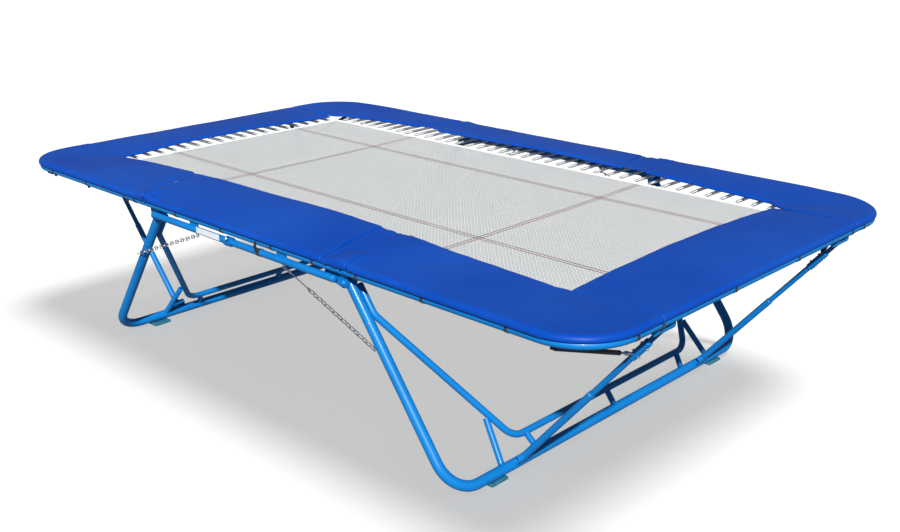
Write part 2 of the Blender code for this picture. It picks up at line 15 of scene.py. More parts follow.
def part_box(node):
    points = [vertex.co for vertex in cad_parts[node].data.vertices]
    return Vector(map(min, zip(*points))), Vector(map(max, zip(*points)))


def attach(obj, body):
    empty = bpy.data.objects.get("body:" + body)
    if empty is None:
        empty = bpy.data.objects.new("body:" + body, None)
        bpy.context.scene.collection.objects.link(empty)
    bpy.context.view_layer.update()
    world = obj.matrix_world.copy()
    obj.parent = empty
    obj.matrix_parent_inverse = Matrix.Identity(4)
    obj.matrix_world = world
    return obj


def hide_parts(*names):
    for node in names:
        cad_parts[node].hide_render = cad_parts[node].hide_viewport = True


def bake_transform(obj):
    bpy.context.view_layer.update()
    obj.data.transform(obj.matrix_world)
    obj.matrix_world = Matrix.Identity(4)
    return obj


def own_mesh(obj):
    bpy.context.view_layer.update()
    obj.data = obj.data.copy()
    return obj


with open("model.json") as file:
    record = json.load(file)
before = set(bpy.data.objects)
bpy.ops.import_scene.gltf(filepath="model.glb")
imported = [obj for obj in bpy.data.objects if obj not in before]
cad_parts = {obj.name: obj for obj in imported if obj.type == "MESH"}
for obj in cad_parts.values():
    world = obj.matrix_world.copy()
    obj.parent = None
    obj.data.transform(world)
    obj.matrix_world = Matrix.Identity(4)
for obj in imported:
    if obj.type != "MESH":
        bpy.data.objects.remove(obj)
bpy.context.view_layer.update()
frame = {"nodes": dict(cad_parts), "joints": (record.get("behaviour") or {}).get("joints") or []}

JOINTS = {joint["name"]: joint for joint in frame["joints"]}
SIDES = {"near": -1, "far": 1}
ENDS = {"left": -1, "right": 1}
CORNERS = [(end, side, s, sign) for end, s in ENDS.items() for side, sign in SIDES.items()]

# ---------------------------------------------------------------- sizes that the frame gives

RAIL_LOW, RAIL_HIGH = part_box("upper_rail_near")
RAIL_Z = (RAIL_LOW.z + RAIL_HIGH.z) / 2
SIDE_Y = -(RAIL_LOW.y + RAIL_HIGH.y) / 2
RAIL_R = (RAIL_HIGH.z - RAIL_LOW.z) / 2
RAIL_END_X = RAIL_HIGH.x
END_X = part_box("end_rail_right")[1].x - RAIL_R
LOW_RAIL_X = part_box("lower_rail_near")[1].x
HINGE_X, _, HINGE_Z = JOINTS["fold_right"]["pos_m"]
PIVOT_X, _, PIVOT_Z = JOINTS["leg_right_fold"]["pos_m"]
BRACE_X, BRACE_Y, BRACE_Z = JOINTS["brace_right_far_fold"]["pos_m"]
GAS_TOP = Vector(JOINTS["gas_right_far_swing"]["pos_m"])
CHAIN_TOP = Vector(JOINTS["chain_right_far_swing"]["pos_m"])
BED_X, BED_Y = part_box("bed_right")[1].x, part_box("bed_right")[1].y
MIDDLE_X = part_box("bed_middle")[1].x
PAD_IN_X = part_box("pad_right_end")[0].x

# Sizes of the same frame that no node's box gives
LOW_RAIL_Z = 1.063
CORNER_R = 0.30
LEG_BAR = (1.668, 0.050)
LEG_Y, LEG_R, LEG_BEND = 1.388, 0.030, 0.19
INNER_R, INNER_BEND = 0.020, 0.13
INNER_POINTS = ((1.3374, 1.215), (1.3374, 1.03), (0.835, 0.125))
STRUT_R = 0.018
STRUTS = (((0.955, 0.285), 1.005), ((0.740, 0.125), 0.710), ((0.0, 0.125), 0.0))
CHAIN_LEG = (1.150, 0.744)
SPACER_X, SPACER_LENGTH, SPACER_T = 0.43, 0.085, 0.010
SPRING_PITCH = 0.105
LINK_PITCH, HOOK_ROD = 0.0335, 0.175
LUG_Y = (1.4307, 1.4650)     # inner and outer faces of the hinge lugs
GAS_STROKE = 0.036           # bare rod left between the tube and the cone
GRIP_AT = 0.210              # from the brace's hinge to the gas spring's ball stud

# Soft parts
PAD_OUT_Y = 1.484            # outermost fold of the side pads, just outside the rail
PAD_IN_Y = {-1: 0.992, 1: 1.068}    # inner edge of the near and the far side pads
PAD_ROLL = 0.026             # radius of the pads' fold over the rail
PAD_T = 0.022
FILM = 0.0052                # thickness of the covers and hems without foam
EDGE_SKIN = 0.0080           # thickness of the pads' outer fold
RAIL_GAP = 0.0035            # between the rails and the pads
PAD_HANG = 1.1440            # lowest edge of the pads, outside the rail
CROWN_Z = 1.176              # top of the pads over the rail
INNER_Z = 1.163              # pads' inner edge at the corners
INNER_LIFT = {-1: 0.058, 1: 0.052}  # how much higher that edge is in the middle of each side
END_LIFT = 0.036
FAR_FULLER = 0.012           # the far pads stand fuller over their rail
WEAVE_PITCH = 0.0136
WEAVE_BAND = 0.0126
WEAVE_RISE = 0.0011
RED_TAPE = 0.0050            # width of each of the thin lines on the bed
RED_RISE = 0.0017
RED_X, RED_Y = 1.082, 0.564  # middles of the double red lines
HEM = 0.028
BED_BEND, COVER_BEND = 0.045, 0.05  # half the width round a hinge of the start and stop points that bed(), bed_hem() and cover() compute; nothing is bent over them

# Room that the pads leave for the hinge lugs: level over the eye, then falling towards the end
LUG_ROOM_X, LUG_ROOM_Y, LUG_ROOM_TOP = (0.929, 1.045), 1.410, 1.1890
LUG_FALL_X, LUG_FALL_Z, LUG_FALL = 0.958, 1.1870, 0.60

FLOOR_GLOW = 0.50


# ---------------------------------------------------------------- materials

class Finish:
    """One procedural material: textures drive its shader's colour, roughness and bump."""

    def __init__(self, name, color, roughness, metallic=0.0):
        self.made = bpy.data.materials.new(name)
        self.made.use_nodes = True
        self.made.diffuse_color = (*color, 1.0)
        self.tree = self.made.node_tree
        self.shader = self.tree.nodes["Principled BSDF"]
        self.set("Base Color", (*color, 1.0))
        self.set("Roughness", roughness)
        self.set("Metallic", metallic)

    def set(self, name, value):
        self.shader.inputs[name].default_value = value

    def link(self, source, target):
        self.tree.links.new(source, target)

    def drive(self, name, source):
        self.link(source, self.shader.inputs[name])

    def node(self, kind, values=()):
        made = self.tree.nodes.new(f"ShaderNode{kind}")
        for name, value in dict(values).items():
            made.inputs[name].default_value = value
        return made

    def place(self):
        return self.node("TexCoord").outputs["Object"]

    def noise(self, scale, detail=3.0, stretch=None):
        texture = self.node("TexNoise", {"Scale": scale, "Detail": detail})
        place = self.place()
        if stretch:
            mapping = self.node("Mapping", {"Scale": stretch})
            self.link(place, mapping.inputs["Vector"])
            place = mapping.outputs["Vector"]
        self.link(place, texture.inputs["Vector"])
        return texture.outputs["Fac"]

    def ramp(self, source, *stops):
        """A ramp between two (place, colour) stops."""
        ramp = self.node("ValToRGB")
        for stop, (place, color) in zip(ramp.color_ramp.elements, stops):
            stop.position = place
            stop.color = (*color, 1.0)
        self.link(source, ramp.inputs["Fac"])
        return ramp.outputs["Color"]

    def mix(self, mask, *colors):
        """Base colour that goes from the first colour to the second by a mask."""
        mix = self.node("Mix")
        mix.data_type = "RGBA"
        self.link(mask, mix.inputs[0])
        for socket, color in zip((mix.inputs[6], mix.inputs[7]), colors):
            if isinstance(color, tuple):
                socket.default_value = (*color, 1.0)
            else:
                self.link(color, socket)
        self.drive("Base Color", mix.outputs[2])

    def vary(self, scale, dark, light):
        """Base colour that drifts between two near tones."""
        color = self.ramp(self.noise(scale, 4.0), (0.3, dark), (0.7, light))
        self.drive("Base Color", color)
        return color

    def rough(self, scale, low, high):
        spread = self.node("MapRange", {"To Min": low, "To Max": high})
        self.link(self.noise(scale), spread.inputs["Value"])
        self.drive("Roughness", spread.outputs["Result"])

    def bump(self, *layers):
        """Bump from (texture output, strength, distance) layers, one on the other."""
        below = None
        for source, strength, distance in layers:
            layer = self.node("Bump", {"Strength": strength, "Distance": distance})
            self.link(source, layer.inputs["Height"])
            if below:
                self.link(below, layer.inputs["Normal"])
            below = layer.outputs["Normal"]
        self.drive("Normal", below)


def blue_paint():
    """Satin azure powder coat with faint orange peel, and scuffs scattered by a stretched noise."""
    paint = Finish("azure_paint", (0.003, 0.168, 0.52), 0.4)
    paint.set("Specular IOR Level", 0.25)
    paint.set("Coat Weight", 0.06)
    paint.set("Coat Roughness", 0.10)
    base = paint.vary(3.0, (0.002, 0.158, 0.49), (0.004, 0.188, 0.55))
    scuffs = paint.noise(38.0, 6.0, (1.0, 1.0, 0.22))
    paint.mix(paint.ramp(scuffs, (0.735, (0, 0, 0)), (0.765, (1, 1, 1))), base, (0.42, 0.52, 0.60))
    paint.rough(14.0, 0.34, 0.46)
    paint.bump((paint.noise(320.0, 2.0), 0.06, 0.001))
    return paint.made


def blue_vinyl():
    """Royal blue coated fabric: a fine grain, soft dents, and slightly paler patches."""
    vinyl = Finish("royal_vinyl", (0.003, 0.068, 0.45), 0.42)
    vinyl.set("Specular IOR Level", 0.12)
    vinyl.vary(1.3, (0.001, 0.050, 0.360), (0.005, 0.068, 0.415))
    vinyl.rough(5.0, 0.34, 0.46)
    grain = vinyl.node("TexVoronoi", {"Scale": 650.0})
    vinyl.link(vinyl.place(), grain.inputs["Vector"])
    vinyl.bump((vinyl.noise(9.0), 0.25, 0.012), (grain.outputs["Distance"], 0.12, 0.0006))
    return vinyl.made


def painted_hole_shade_mask(web):
    """A mask that is black at the corners where four bands of the weave meet: painted shade standing in for
    the dark holes between the bands.
    """
    parts = web.node("SeparateXYZ")
    web.link(web.place(), parts.inputs[0])
    total = web.node("Math")
    for i, axis in enumerate("XY"):
        turn = web.node("Math", {1: 2 * math.pi / WEAVE_PITCH})
        turn.operation = "MULTIPLY"
        web.link(parts.outputs[axis], turn.inputs[0])
        wave = web.node("Math")
        wave.operation = "COSINE"
        web.link(turn.outputs[0], wave.inputs[0])
        web.link(wave.outputs[0], total.inputs[i])
    return web.ramp(total.outputs[0], (0.05, (1, 1, 1)), (0.45, (0, 0, 0)))


def woven_nylon(name, dark, light, roughness=0.62, shade=None):
    """Flat nylon band: fine ribs along both ways, a slow drift of tone, and, when a shade colour is given,
    painted shade in the holes of the weave.
    """
    web = Finish(name, light, roughness)
    web.set("Sheen Weight", 0.15)
    base = web.vary(5.0, dark, light)
    if shade:
        # painted shade: the holes where four bands meet get the dark shade colour
        web.mix(painted_hole_shade_mask(web), shade, base)
    layers = []
    for turn in ("X", "Y"):
        ribs = web.node("TexWave", {"Scale": 420.0, "Distortion": 1.0})
        ribs.bands_direction = turn
        web.link(web.place(), ribs.inputs["Vector"])
        layers.append((ribs.outputs["Fac"], 0.15, 0.0004))
    web.bump(*layers)
    return web.made


def metal(name, dark, light, low, high):
    steel = Finish(name, light, (low + high) / 2, 1.0)
    steel.vary(60.0, dark, light)
    steel.rough(60.0, low, high)
    steel.bump((steel.noise(240.0, 2.0, (1.0, 1.0, 0.2)), 0.05, 0.0005))
    return steel.made


def plain(name, dark, light, low, high):
    """Paint, plastic or rubber with a fine grain and a slight drift of tone and gloss."""
    skin = Finish(name, light, (low + high) / 2)
    skin.vary(40.0, dark, light)
    skin.rough(40.0, low, high)
    skin.bump((skin.noise(400.0, 2.0), 0.1, 0.0006))
    return skin.made


PAINT = blue_paint()
VINYL = blue_vinyl()
# The white bed's near-black shade colour is painted shade in the holes of its weave.
WEB = woven_nylon("web_white", (0.88, 0.92, 0.94), (0.93, 0.95, 0.96), shade=(0.020, 0.028, 0.035))
WEB_RED = woven_nylon("web_red", (0.16, 0.010, 0.012), (0.24, 0.018, 0.020))
HEM_WHITE = woven_nylon("hem_white", (0.76, 0.78, 0.78), (0.88, 0.89, 0.89))
STRAP = woven_nylon("strap_black", (0.008, 0.009, 0.012), (0.022, 0.023, 0.028), 0.7)
ZINC = metal("zinc", (0.58, 0.59, 0.61), (0.80, 0.81, 0.83), 0.26, 0.42)
CHROME = metal("chrome", (0.74, 0.75, 0.77), (0.84, 0.85, 0.87), 0.08, 0.16)
GAS_PAINT = plain("gas_paint", (0.030, 0.033, 0.038), (0.055, 0.060, 0.068), 0.30, 0.45)
RUBBER = plain("foot_rubber", (0.010, 0.110, 0.190), (0.035, 0.180, 0.260), 0.40, 0.6)
SPRING = metal("spring_steel", (0.76, 0.78, 0.78), (0.92, 0.93, 0.93), 0.40, 0.52)
LABEL = plain("blank_label", (0.66, 0.74, 0.80), (0.76, 0.83, 0.88), 0.25, 0.4)


# ---------------------------------------------------------------- mesh tools

class Shape:
    """Collects the faces of one piece."""

    def __init__(self):
        self.points = []
        self.faces = []
        self.finishes = []

    def add(self, points, faces, finish=0):
        start = len(self.points)
        self.points.extend(tuple(p) for p in points)
        self.faces.extend(tuple(start + i for i in face) for face in faces)
        self.finishes.extend([finish] * len(faces))

    def grid(self, rows, around=False, finish=0, capped=False):
        """A surface through rows of points; around joins each row's last point to its first."""
        wide = len(rows[0])
        steps = wide if around else wide - 1
        faces = [
            (r + c, r + (c + 1) % wide, r + wide + (c + 1) % wide, r + wide + c)
            for r in range(0, (len(rows) - 1) * wide, wide) for c in range(steps)
        ]
        if capped:
            faces.append(tuple(reversed(range(wide))))
            faces.append(tuple((len(rows) - 1) * wide + c for c in range(wide)))
        self.add([p for row in rows for p in row], faces, finish)

    def sweep(self, path, section, scales=None, closed=False, finish=0):
        """A section of (across, up) points carried along a path, with flat ends or closed on itself."""
        path = [Vector(p) for p in path]
        count = len(path)
        scales = scales or [1.0] * count
        rows = []
        side = None
        for i, point in enumerate(path):
            before = path[i - 1] if i or closed else point
            after = path[(i + 1) % count] if i + 1 < count or closed else point
            way = (after - before).normalized()
            side = side or across_of(way)[0]
            side = (side - way * side.dot(way)).normalized()
            up = side.cross(way)
            rows.append([point + side * (a * scales[i]) + up * (b * scales[i]) for a, b in section])
        if closed:
            rows.append(rows[0])
        self.grid(rows, True, finish, capped=not closed)

    def tube(self, path, radius, sides=24, chamfer=0.0015):
        """A round tube with softened ends."""
        path = [Vector(p) for p in path]
        reach = min(chamfer, radius * 0.3)
        first = (path[1] - path[0]).normalized() * reach
        last = (path[-1] - path[-2]).normalized() * reach
        rim = 1 - reach / radius
        path = [path[0], path[0] + first, *path[1:-1], path[-1] - last, path[-1]]
        self.sweep(path, ring(radius, sides), [rim] + [1.0] * (len(path) - 2) + [rim])

    def loop(self, path, radius):
        """A round wire closed on itself."""
        self.sweep(path, ring(radius, 6), closed=True)

    def lathe(self, start, way, profile, sides=24, finish=0):
        """A solid turned about a line, from (distance, radius) points."""
        way = Vector(way).normalized()
        path = [Vector(start) + way * distance for distance, _ in profile]
        side, up = across_of(way)
        rows = [
            [p + side * (a * r) + up * (b * r) for a, b in ring(1.0, sides)]
            for p, (_, r) in zip(path, profile)
        ]
        self.grid(rows, True, finish, capped=True)

    def block(self, centre, size, turn=None, edge=0.001):
        """A box with bevelled edges, turned by a matrix if one is given."""
        half = [s / 2 for s in size]
        edge = min(edge, min(half) * 0.6)
        rows = []
        top = half[2]
        for z, inset in ((-top, edge), (-top + edge, 0), (top - edge, 0), (top, edge)):
            x, y = half[0] - inset, half[1] - inset
            rows.append([
                (x, -y + edge, z), (x, y - edge, z), (x - edge, y, z), (-x + edge, y, z),
                (-x, y - edge, z), (-x, -y + edge, z), (-x + edge, -y, z), (x - edge, -y, z),
            ])
        turn = turn or Matrix.Identity(3)
        rows = [[Vector(centre) + turn @ Vector(p) for p in row] for row in rows]
        self.grid(rows, True, capped=True)

    def piece(self, name, body, finishes, sharp=35.0, replaces=()):
        """The finished object, riding on its body."""
        made = make_object(name, self, finishes, sharp)
        if body:
            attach(made, body)
        if replaces:
            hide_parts(*replaces)
        return made


def across_of(way):
    """Two unit directions square to a way and to each other."""
    guide = Vector((0, 0, 1)) if abs(way.z) < 0.9 else Vector((1, 0, 0))
    side = way.cross(guide).normalized()
    return side, side.cross(way)


def make_object(name, shape, finishes, sharp):
    mesh = bpy.data.meshes.new(name)
    mesh.from_pydata([tuple(p) for p in shape.points], [], shape.faces)
    for finish in finishes:
        mesh.materials.append(finish)
    if len(finishes) > 1:
        mesh.polygons.foreach_set("material_index", shape.finishes)
    mesh.validate()
    joined = bmesh.new()
    joined.from_mesh(mesh)
    bmesh.ops.remove_doubles(joined, verts=joined.verts, dist=0.00001)
    bmesh.ops.recalc_face_normals(joined, faces=joined.faces)
    joined.to_mesh(mesh)
    joined.free()
    mesh.shade_smooth()
    mesh.set_sharp_from_angle(angle=math.radians(sharp))
    made = bpy.data.objects.new(name, mesh)
    bpy.context.scene.collection.objects.link(made)
    return made


def ring(radius, sides):
    turn = 2 * math.pi / sides
    return [(radius * math.cos(turn * i), radius * math.sin(turn * i)) for i in range(sides)]


def bend(before, corner, after, radius, steps=10):
    """Points that round off the corner of a path with a tangent arc."""
    back = (before - corner).normalized()
    ahead = (after - corner).normalized()
    half = back.angle(ahead) / 2
    middle = corner + (back + ahead).normalized() * (radius / math.sin(half))
    outward = (corner - middle).normalized()
    sideways = (ahead - ahead.project(outward)).normalized()
    sweep = math.pi / 2 - half
    return [
        middle + outward * (radius * math.cos(a)) + sideways * (radius * math.sin(a))
        for a in (sweep * (2 * i / steps - 1) for i in range(steps + 1))
    ]


def weld(shape, start, way, radius, bar_point, bar_way, bar_radius, bead=0.0032):
    """The bead where a tube that runs along way from start meets a round bar."""
    start, way, bar_way = Vector(start), Vector(way).normalized(), Vector(bar_way).normalized()
    side, up = across_of(way)
    path = []
    for a, b in ring(radius, 24):
        p = start + side * a + up * b
        rel = p - Vector(bar_point)
        flat = rel - bar_way * rel.dot(bar_way)
        d = way - bar_way * way.dot(bar_way)
        qa, qb, qc = d.dot(d), 2 * d.dot(flat), flat.dot(flat) - bar_radius ** 2
        root = qb * qb - 4 * qa * qc
        reach = (-qb - math.sqrt(max(root, 0))) / (2 * qa)
        path.append(p + way * reach)
    shape.loop(path, bead)


def hex_bolt(shape, start, way, length, radius=0.006, head=0.0092, finish=0):
    """A washer and hexagon head at start, a shank along way, and a nut and washer at its far end."""
    way = Vector(way).normalized()
    start = Vector(start)
    shape.lathe(start, way, [(0, 0.0005), (0, radius), (length, radius), (length, 0.0005)], 12, finish)
    for place, sign in ((start, -1), (start + way * length, 1)):
        out = way * sign
        washer = [(0, 0.0005), (0, head * 1.2), (0.001, head * 1.2), (0.001, 0.0005)]
        shape.lathe(place, out, washer, 20, finish)
        shape.lathe(
            place + out * 0.0011, out,
            [(0, 0.0005), (0, head), (0.0038, head), (0.0048, head * 0.85), (0.0048, 0.0005)], 6, finish,
        )


# ---------------------------------------------------------------- rails

def upper_rails():
    for side, sign in SIDES.items():
        shape = Shape()
        y = sign * SIDE_Y
        shape.tube([(-RAIL_END_X, y, RAIL_Z), (0, y, RAIL_Z), (RAIL_END_X, y, RAIL_Z)], RAIL_R, 32)
        for x in rail_hook_places(-MIDDLE_X, MIDDLE_X):
            rail_hook(shape, Vector((x, y, RAIL_Z)), Vector((0, -sign, 0)))
        shape.piece(f"rail_upper_{side}", "middle", [PAINT], replaces=[f"upper_rail_{side}"])


def rail_hook_places(first, last):
    count = int((last - first) / SPRING_PITCH)
    return [first + (last - first) * (i + 0.5) / count for i in range(count)]


def rail_hook(shape, centre, inward):
    """A small hooked pin on the rail's inner side, which a spring hangs on."""
    along = Vector((0, 0, 1))
    foot = centre + inward * (RAIL_R - 0.002)
    bent = foot + inward * 0.009
    path = [foot, foot + inward * 0.006, bent + along * 0.003, bent + along * 0.010]
    shape.tube(path, 0.0032, 8, chamfer=0.0008)


def lower_rails():
    """Lower side rails with rounded end plugs, spacer plates and eyes for the chains."""
    for side, sign in SIDES.items():
        shape = Shape()
        y = sign * SIDE_Y
        z = LOW_RAIL_Z
        end = LOW_RAIL_X - 0.012
        shape.tube([(-end, y, z), (0, y, z), (end, y, z)], RAIL_R, 32)
        for s in ENDS.values():
            plug = [
                (0, 0.0005), (0, RAIL_R), (0.002, RAIL_R * 1.03), (0.006, RAIL_R),
                (0.010, RAIL_R * 0.86), (0.013, RAIL_R * 0.6), (0.0145, RAIL_R * 0.3), (0.015, 0.0005),
            ]
            shape.lathe((s * (end - 0.002), y, z), (s, 0, 0), plug, 28)
            top = RAIL_Z - RAIL_R - 0.0006
            plate = (SPACER_LENGTH, SPACER_T, top - z)
            shape.block((s * SPACER_X, y, (top + z) / 2), plate, edge=0.0015)
            for way in (-1, 1):
                shape.tube([
                    (s * SPACER_X + half, y + way * SPACER_T / 2, z + RAIL_R * 0.97)
                    for half in (-SPACER_LENGTH / 2, SPACER_LENGTH / 2)
                ], 0.003, 8)
            eye = Vector((s * CHAIN_TOP.x, sign * (CHAIN_TOP.y + 0.004), CHAIN_TOP.z + 0.012))
            shape.block(eye + Vector((0, 0, 0.016)), (0.024, 0.006, 0.030), edge=0.001)
        shape.piece(f"rail_lower_{side}", "middle", [PAINT], replaces=[f"lower_rail_{side}"])


def end_rail_path(s):
    """Centre line of an end rail from its near hinge to its far hinge."""
    start = HINGE_X + (HINGE_X - RAIL_END_X)
    corners = [Vector((s * x, y, RAIL_Z)) for x, y in
               ((start, -SIDE_Y), (END_X, -SIDE_Y), (END_X, SIDE_Y), (start, SIDE_Y))]
    return [corners[0], *bend(*corners[:3], CORNER_R, 16), *bend(*corners[1:], CORNER_R, 16), corners[3]]


def belt(circles, steps=20):
    """The outline of a belt stretched round circles given as (x, z, radius)."""
    points = sorted((x + a, z + b) for x, z, radius in circles for a, b in ring(radius, steps))

    def chain(ordered):
        kept = []
        for p in ordered:
            while len(kept) > 1 and turns_right(kept[-2], kept[-1], p):
                kept.pop()
            kept.append(p)
        return kept[:-1]

    return chain(points) + chain(points[::-1])


def turns_right(a, b, c):
    return (b[0] - a[0]) * (c[1] - a[1]) - (b[1] - a[1]) * (c[0] - a[0]) <= 1e-9


def upright_plate(shape, outline, y_low, y_high, edge=0.001):
    """A plate with its outline in X and Z, and softened edges."""
    middle = Vector((sum(p[0] for p in outline), 0, sum(p[1] for p in outline))) / len(outline)

    def row(y, inset):
        points = []
        for x, z in outline:
            away = Vector((x, 0, z)) - middle
            away -= away.normalized() * inset
            points.append((middle.x + away.x, y, middle.z + away.z))
        return points

    rows = [row(y_low, edge), row(y_low + edge, 0), row(y_high - edge, 0), row(y_high, edge)]
    shape.grid(rows, True, capped=True)


def end_rails():
    """U-shaped rails with hinge lugs, brace barrels, gas-spring studs and spring hooks."""
    barrel_r, barrel_from, barrel_to = 0.0165, 0.0294, 0.0774
    for end, s in ENDS.items():
        shape = Shape()
        shape.tube(end_rail_path(s), RAIL_R, 32)
        start = HINGE_X + (HINGE_X - RAIL_END_X)
        outline = belt([
            (s * HINGE_X, HINGE_Z, 0.013),
            (s * (start + 0.014), RAIL_Z + 0.006, 0.012),
            (s * (start + 0.075), RAIL_Z + 0.006, 0.012),
        ])
        for sign in SIDES.values():
            upright_plate(shape, outline, *sorted(sign * y for y in LUG_Y))
            for way in (-1, 1):
                inner = sign * BRACE_Y + way * barrel_from
                outer = sign * BRACE_Y + way * barrel_to
                shape.tube([(s * BRACE_X, y, BRACE_Z) for y in (inner, outer)], barrel_r, 24)
                centre = (s * (BRACE_X + 0.016), (inner + outer) / 2, (RAIL_Z + BRACE_Z) / 2)
                shape.block(centre, (0.012, 0.038, RAIL_Z - BRACE_Z), edge=0.0015)
            stud = Vector((s * GAS_TOP.x, sign * GAS_TOP.y, GAS_TOP.z + 0.0129))
            shape.tube([stud + Vector((0, sign * 0.012, RAIL_Z - stud.z)), stud], 0.006, 12)
            for x in rail_hook_places(MIDDLE_X + 0.016, BED_X):
                rail_hook(shape, Vector((s * x, sign * SIDE_Y, RAIL_Z)), Vector((0, -sign, 0)))
        for y in rail_hook_places(-BED_Y, BED_Y):
            rail_hook(shape, Vector((s * END_X, y, RAIL_Z)), Vector((-s, 0, 0)))
        shape.piece(f"rail_{end}_end", f"end_{end}", [PAINT], replaces=[f"end_rail_{end}"])


def hinge_bolts():
    for end, side, s, sign in CORNERS:
        shape = Shape()
        inner, outer = 1.4218, 1.4654
        hex_bolt(shape, (s * HINGE_X, sign * inner, HINGE_Z), (0, sign, 0), outer - inner)
        shape.piece(
            f"hinge_bolt_{end}_{side}", "middle", [ZINC], replaces=[f"hinge_pin_{end}_{side}"]
        )
        cap = Shape()
        place = (s * PIVOT_X, sign * 1.4304, PIVOT_Z)
        profile = [(0, 0.0005), (0, 0.019), (0.004, 0.020), (0.010, 0.0175), (0.014, 0.012), (0.016, 0.0005)]
        cap.lathe(place, (0, sign, 0), profile, 24)
        cap.piece(f"pivot_cap_{end}_{side}", "middle", [PAINT])


# ---------------------------------------------------------------- leg frames

def leg_point(s, y, up):
    foot = Vector((s * LEG_BAR[0], y, LEG_BAR[1]))
    head = Vector((s * PIVOT_X, y, PIVOT_Z))
    return foot + (head - foot).normalized() * up


def leg_frames():
    length = math.hypot(LEG_BAR[0] - PIVOT_X, PIVOT_Z - LEG_BAR[1])
    for end, s in ENDS.items():
        shape = Shape()
        outline = ((-LEG_Y, length), (-LEG_Y, 0), (LEG_Y, 0), (LEG_Y, length))
        corners = [leg_point(s, y, up) for y, up in outline]
        near, far = bend(*corners[:3], LEG_BEND, 14), bend(*corners[1:], LEG_BEND, 14)
        shape.tube([corners[0], *near, *far, corners[3]], LEG_R, 36)
        for sign in SIDES.values():
            boss = [(s * PIVOT_X, sign * y, PIVOT_Z) for y in (LEG_Y - LEG_R, 1.4214)]
            shape.tube(boss, LEG_R + 0.001, 32)
            eye = Vector((s * CHAIN_LEG[0], sign * LEG_Y, CHAIN_LEG[1]))
            tip = Vector((eye.x, sign * 1.4300, eye.z))
            shape.tube([eye, tip], 0.006, 12)
            disc = [(-0.002, 0.0005), (-0.002, 0.0095), (0.0004, 0.0095), (0.0004, 0.0005)]
            shape.lathe(tip, (0, sign, 0), disc, 16)
            leg_way = leg_point(s, 0, 1) - leg_point(s, 0, 0)
            weld(shape, tip, (0, -sign, 0), 0.006, eye, leg_way, LEG_R, 0.0025)
        shape.piece(f"leg_{end}_main", f"leg_{end}", [PAINT], replaces=[f"leg_frame_{end}"])
        leg_inner(end, s)


def leg_inner(end, s):
    shape = Shape()
    near = [leg_point(s, -y, up) for y, up in INNER_POINTS]
    far = [leg_point(s, y, up) for y, up in reversed(INNER_POINTS)]
    path = [
        near[0],
        *bend(*near, 0.10, 6),
        *bend(near[1], near[2], far[0], INNER_BEND, 10),
        *bend(near[2], far[0], far[1], INNER_BEND, 10),
        *bend(*far, 0.10, 6),
        far[2],
    ]
    shape.tube(path, INNER_R, 28, chamfer=0.006)
    bar, bar_way = leg_point(s, 0, 0), Vector((0, 1, 0))
    for (y_top, up_top), y_low in STRUTS:
        for sign in SIDES.values() if y_top else (1,):
            top, low = leg_point(s, sign * y_top, up_top), leg_point(s, sign * y_low, 0)
            down = (low - top).normalized()
            reach = LEG_R / abs(down.cross(bar_way).length) + 0.0006
            shape.tube([top, low - down * reach], STRUT_R, 24)
            weld(shape, top, down, STRUT_R, bar, bar_way, LEG_R + 0.001)
            if up_top == INNER_POINTS[2][1]:
                weld(shape, low, -down, STRUT_R, leg_point(s, 0, up_top), bar_way, INNER_R)
    shape.piece(f"leg_{end}_inner", f"leg_{end}", [PAINT], replaces=[f"leg_inner_{end}"])


# ---------------------------------------------------------------- braces and gas springs

def brace_line(s, y):
    top = Vector((s * BRACE_X, y, BRACE_Z))
    bar = Vector((s * LEG_BAR[0], y, LEG_BAR[1]))
    down = (bar - top).normalized()
    return top, bar - down * (LEG_R + 0.0216), down


def braces():
    step, clamp = 0.607, (0.112, 0.254)
    for end, side, s, sign in CORNERS:
        body = f"brace_{end}_{side}"
        top, foot, down = brace_line(s, sign * BRACE_Y)
        across = Vector((0, 1, 0))
        up = across.cross(down)
        lower = Shape()
        lower.tube([top + down * step, foot - down * 0.012], 0.020, 28, chamfer=0.003)
        sleeve(lower, foot, across, 0.021, 0.0165, 0.110)
        weld(lower, top + down * step, down, 0.020, foot, across, 0.021)
        lower.piece(f"{body}_lower_tube", body, [PAINT], replaces=[f"brace_lower_{end}_{side}"])
        upper = Shape()
        upper.tube([top + down * (clamp[0] + 0.02), top + down * (step - 0.0006)], 0.016, 28)
        upper.tube([top + down * clamp[0], top + down * clamp[1]], 0.0212, 28)
        turn = Matrix((across, up, down)).transposed()
        for way in (-1, 1):
            cheek = top + down * (clamp[0] / 2 + 0.01) + across * (way * 0.0095)
            upper.block(cheek, (0.005, 0.024, clamp[0] + 0.02), turn, 0.001)
        upper.tube([top - across * 0.029, top + across * 0.029], 0.0165, 24)
        upper.tube([top - across * 0.0722, top + across * 0.0722], 0.008, 16)
        for distance in (clamp[0] + 0.040, clamp[1] - 0.034):
            place = top + down * distance
            hex_bolt(upper, place - up * 0.0208, up, 0.0416, 0.004, 0.0058, 1)
        upper.piece(
            f"{body}_upper_tube", body, [PAINT, ZINC], replaces=[f"brace_upper_{end}_{side}"]
        )
        gas_spring(end, side, s, sign, top, down)


def sleeve(shape, centre, way, radius, bore, length):
    """A short open tube: outer wall, two rims and the bore, as one closed surface."""
    half = length / 2
    profile = [(-half + 0.001, radius), (half - 0.001, radius), (half, radius - 0.001), (half, bore + 0.0005),
               (half - 0.001, bore), (-half + 0.001, bore), (-half, bore + 0.0005), (-half, radius - 0.001)]
    side, up = across_of(way)
    rows = [
        [centre + way * d + side * (a * r) + up * (b * r) for a, b in ring(1.0, 28)]
        for d, r in profile + profile[:1]
    ]
    shape.grid(rows, True)


